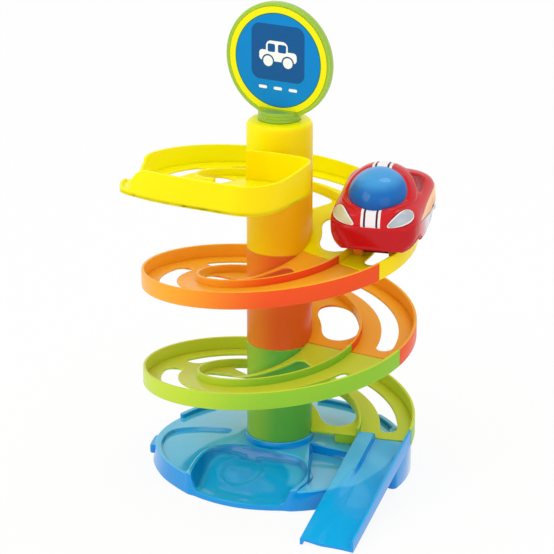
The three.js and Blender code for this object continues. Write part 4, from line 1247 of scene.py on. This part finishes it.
def headlight(name, side, lens):
    # an almond lens on the skin: rows along it, and across it a low crown above and a flat below
    s = np.sin(np.linspace(-quarterTurn, quarterTurn, 49))[:, None]
    track, share = lampTrack()
    along = np.interp(s, share, track)
    t = np.sin(np.linspace(-quarterTurn, quarterTurn, 33))[None]
    angle = (car["lampAngle"][0] + car["lampLean"] * s + lampWidth(s) * t) / 180
    across = angle if side > 0 else 1 - angle
    points = carSkin(np.broadcast_to(along, across.shape), across)
    out = carNormals(points)
    edge, height = car["lampCrown"]
    crown = edge + height * np.sqrt(np.maximum((1 - t ** 2) * (1 - s ** 2), 0))
    top, under = points + out * crown[..., None], points - out * car["lampUnder"]
    ring = np.concatenate([top, under[:, ::-1]], axis=1)
    shell = Shell()
    shell.grid(carPlace(ring), closedAcross=True)
    border = (np.abs(t) > car["lampBorder"][0]) | (np.abs(s) > car["lampBorder"][1])
    border = border[:-1, :-1] | border[1:, 1:]
    parts = np.ones((len(ring) - 1, ring.shape[1]), np.int32)
    parts[:, :border.shape[1]] = border
    shell.parts = parts.ravel().tolist()
    shell.build(name + "_lens", [lens, lampRim], "car", name, sharpAngle=60)


# Millimetres on the car's own axes. Most pairs are an edge and its softness. The sweep's fall and
# rise are how far they run and how steeply
paint = {
    "lowNoseShade": ((38, 3), (34, 10)), "above": (39.4, 0.4), "stripe": (8.4, 0.3),
    "line": ((4.4, 0.3), (6.2, 0.3)), "flank": (33.0, 1.0), "sweepStart": 28.5, "sweepHeight": 36.3,
    "sweepFall": (40, 0.275), "sweepRise": (30, 0.10), "pale": (8, 34), "paleStart": 18,
    "sweepTone": (33, 8), "sweepEdge": (0.75, 0.3), "doorLines": (14, -22), "doorHeights": (20, 45),
    "lineHalf": (0.5, 0.4), "lineEnd": 0.6, "doorAside": (30, 1.0),
}


def paintRed():
    # gloss red with white stripes over nose, roof and tail, and on each side an orange sweep
    # over a pale flank. The lower nose is a darker red, painted shade. The door's lines are grooves
    finish = Finish("red_car_paint", IOR=1.5, Specular_IOR_Level=0.15, Coat_Weight=0.16,
                    Coat_Roughness=0.05)
    x, y, z = (finish.along(car["spot"], car[name]) for name in ("ahead", "left", "up"))
    aside = y.size()
    red = finish.mix(finish.noise(40.0, 3.0), (202, 12, 20), (212, 18, 26))
    # painted shade: the nose below the bumper's crease takes a darker red
    below, ahead = paint["lowNoseShade"]
    red = finish.mix(z.below(*below) * x.above(*ahead), red, (192, 10, 20))
    above = z.above(*paint["above"])
    colour = finish.mix(aside.below(*paint["stripe"]) * above, red, (240, 236, 238))
    line = aside.above(*paint["line"][0]) * aside.below(*paint["line"][1]) * above
    colour = finish.mix(line, colour, (84, 4, 16))
    back = (paint["sweepStart"] - x).atLeast(0)
    (fallRun, fall), (riseRun, rise) = paint["sweepFall"], paint["sweepRise"]
    low = paint["sweepHeight"] - back.atMost(fallRun) * fall
    high = paint["sweepHeight"] + back.atMost(riseRun) * rise
    flank = aside.above(*paint["flank"]) * x.below(paint["sweepStart"], 0.5)
    pale = flank * (low - z).above(0, 0.4) * (paint["paleStart"] - x).above(*paint["pale"])
    colour = finish.mix(pale, colour, (222, 220, 226))
    sweep = flank * (z - low).above(0, 0.4) * (high - z).above(0, 0.6)
    orange = finish.mix(z.above(*paint["sweepTone"]), (250, 150, 40), (252, 196, 120))
    colour = finish.mix(sweep, colour, orange)
    edge = flank * (z - low).size().below(*paint["sweepEdge"])
    finish.feed("Base Color", finish.mix(edge, colour, (70, 6, 16)))
    finish.feed("Roughness", 0.16 + finish.noise(120.0) * 0.06)
    (front, rear), (foot, head), end = paint["doorLines"], paint["doorHeights"], paint["lineEnd"]
    side, half = aside.above(*paint["doorAside"]), paint["lineHalf"]
    door = (x - front).size().below(*half).atLeast((x - rear).size().below(*half))
    door = door * z.below(head, end) * z.above(foot, end) * side
    sill = (z - foot).size().below(*half) * x.below(front, end) * x.above(rear, end) * side
    finish.bump((1 - door.atLeast(sill)) + finish.noise(60.0) * 0.15, 0.0005, 0.6)
    return finish.material


def tinted(name, low, high, roughness, scale, coat=0.0, bump=0.00008):
    # plastic whose colour wavers between two close tones
    finish = Finish(name, IOR=1.48, Specular_IOR_Level=0.2, Coat_Weight=coat, Coat_Roughness=0.05)
    grain = finish.noise(scale, 3.0)
    finish.feed("Base Color", finish.mix(grain, low, high))
    finish.feed("Roughness", roughness + (grain - 0.5) * 0.1)
    finish.bump(finish.noise(scale * 4), bump, 0.4)
    return finish.material


def glassBlue():
    # blue glazing with painted shade low down and painted light towards the roof: deeper below, lighter
    # above
    finish = Finish("blue_glazing", IOR=1.5, Specular_IOR_Level=0.05, Coat_Weight=0.45,
                    Coat_Roughness=0.06)
    up = finish.along(car["spot"], car["up"]) + finish.noise(50.0) * 3
    # painted shade low down and painted light towards the roof
    colour = finish.mix(up.above(58, 14), (0, 70, 148), (0, 104, 182))
    colour = finish.mix(up.above(68, 8), colour, (64, 156, 218))
    finish.feed("Base Color", colour)
    finish.feed("Roughness", 0.07 + finish.noise(90.0) * 0.03)
    finish.bump(finish.noise(26.0), 0.0001, 0.2)
    return finish.material


carPaint, blueGlass = paintRed(), glassBlue()
# painted shade for the recesses and round the lamps
recessShadeRed = tinted("painted_recess_shade", (150, 10, 24), (166, 14, 28), 0.3, 60.0, 0.1)
lampRim = tinted("lamp_rim_white", (240, 228, 224), (246, 236, 232), 0.2, 60.0, 0.4)
# painted shade and light: the left lens is greyer and darker, the right lighter and creamier
pearl = tinted("lamp_pearl", (150, 160, 168), (196, 206, 212), 0.22, 70.0, 0.6)
cream = tinted("lamp_cream", (196, 190, 142), (222, 214, 176), 0.22, 70.0, 0.6)
# painted shadow: the wheels take the orange-brown of the car's shadow on the yellow road
tyre = tinted("wheel_orange", (214, 120, 30), (226, 134, 36), 0.5, 300.0)
darkShell = tinted("chassis_dark", (96, 10, 18), (108, 14, 22), 0.45, 260.0)
steel = Finish("steel_pin", Metallic=1.0, IOR=2.4)
steel.feed("Base Color", steel.mix(steel.noise(400.0), (178, 182, 188), (200, 203, 208)))
steel.feed("Roughness", 0.24 + steel.noise(700.0) * 0.12)
carBody()
carGlass()
headlight("headlight_left", 1, pearl)
headlight("headlight_right", -1, cream)
kept = {
    "car_chassis": darkShell, "chassis_screw_front": steel.material, "chassis_screw_rear": steel.material,
    "front_axle": steel.material, "rear_axle": steel.material, "wheel_front_left": tyre,
    "wheel_front_right": tyre, "wheel_rear_left": tyre, "wheel_rear_right": tyre,
}
for name, material in kept.items():
    mesh = frame["nodes"][name].data
    mesh.materials.clear()
    mesh.materials.append(material)
print("car made")


# Floor and light

studio = {
    "world": 0.86, "floorGlow": 0.9, "floor": (0.96, 0.96, 0.96, 1), "floorHalf": 6.0,
    "lamps": {
        "key_lamp": {"place": (-0.9, -1.6, 1.5), "target": (0, 0, 0.2), "size": (1.2, 1.2), "power": 9.0},
        "fill_lamp": {"place": (1.5, -1.0, 0.9), "target": (0, 0, 0.2), "size": (1.2, 1.2), "power": 3.0},
        "top_lamp": {"place": (0.26, 0.62, 1.96), "target": (0.05, 0, 0.25), "size": (0.95, 0.48),
                     "power": 2.9, "shape": "ELLIPSE", "roll": 57.0},
    },
}


class Sky(Finish):
    # the world's nodes, wired the way a material's are
    def __init__(self, world):
        self.tree = world.node_tree


floorShell = bpy.data.meshes.new("studio_floor")
half = studio["floorHalf"]
corners = [(-half, -half, 0), (half, -half, 0), (half, half, 0), (-half, half, 0)]
floorShell.from_pydata(corners, [], [(0, 1, 2, 3)])
floor = bpy.data.objects.new("studio_floor", floorShell)
bpy.context.collection.objects.link(floor)
floorFinish = Finish("studio_floor", Roughness=0.9)
floorFinish.shader.inputs["Base Color"].default_value = studio["floor"]
floorFinish.glow(studio["floorGlow"])
floorShell.materials.append(floorFinish.material)

world = bpy.data.worlds.new("studio")
bpy.context.scene.world = world
world.use_nodes = True
background = world.node_tree.nodes["Background"]
background.inputs["Color"].default_value = (1, 1, 1, 1)
sky = Sky(world)
# where the world is seen it is plain white, which is a strength of 1
strength = studio["world"] + sky.seen() * (1 - studio["world"])
sky.tree.links.new(strength.socket, background.inputs["Strength"])


def addLamp(name, place, target, size, power, shape="SQUARE", roll=0.0):
    lamp = bpy.data.objects.new(name, bpy.data.lights.new(name, "AREA"))
    bpy.context.collection.objects.link(lamp)
    lamp.data.shape = shape
    lamp.data.size, lamp.data.size_y = size
    lamp.data.energy = power
    lamp.location = place
    aim = (Vector(target) - Vector(place)).to_track_quat("-Z", "Y")
    lamp.rotation_euler = (aim @ Euler((0, 0, math.radians(roll))).to_quaternion()).to_euler()


for name, values in studio["lamps"].items():
    addLamp(name, **values)
print("floor and lamps placed")
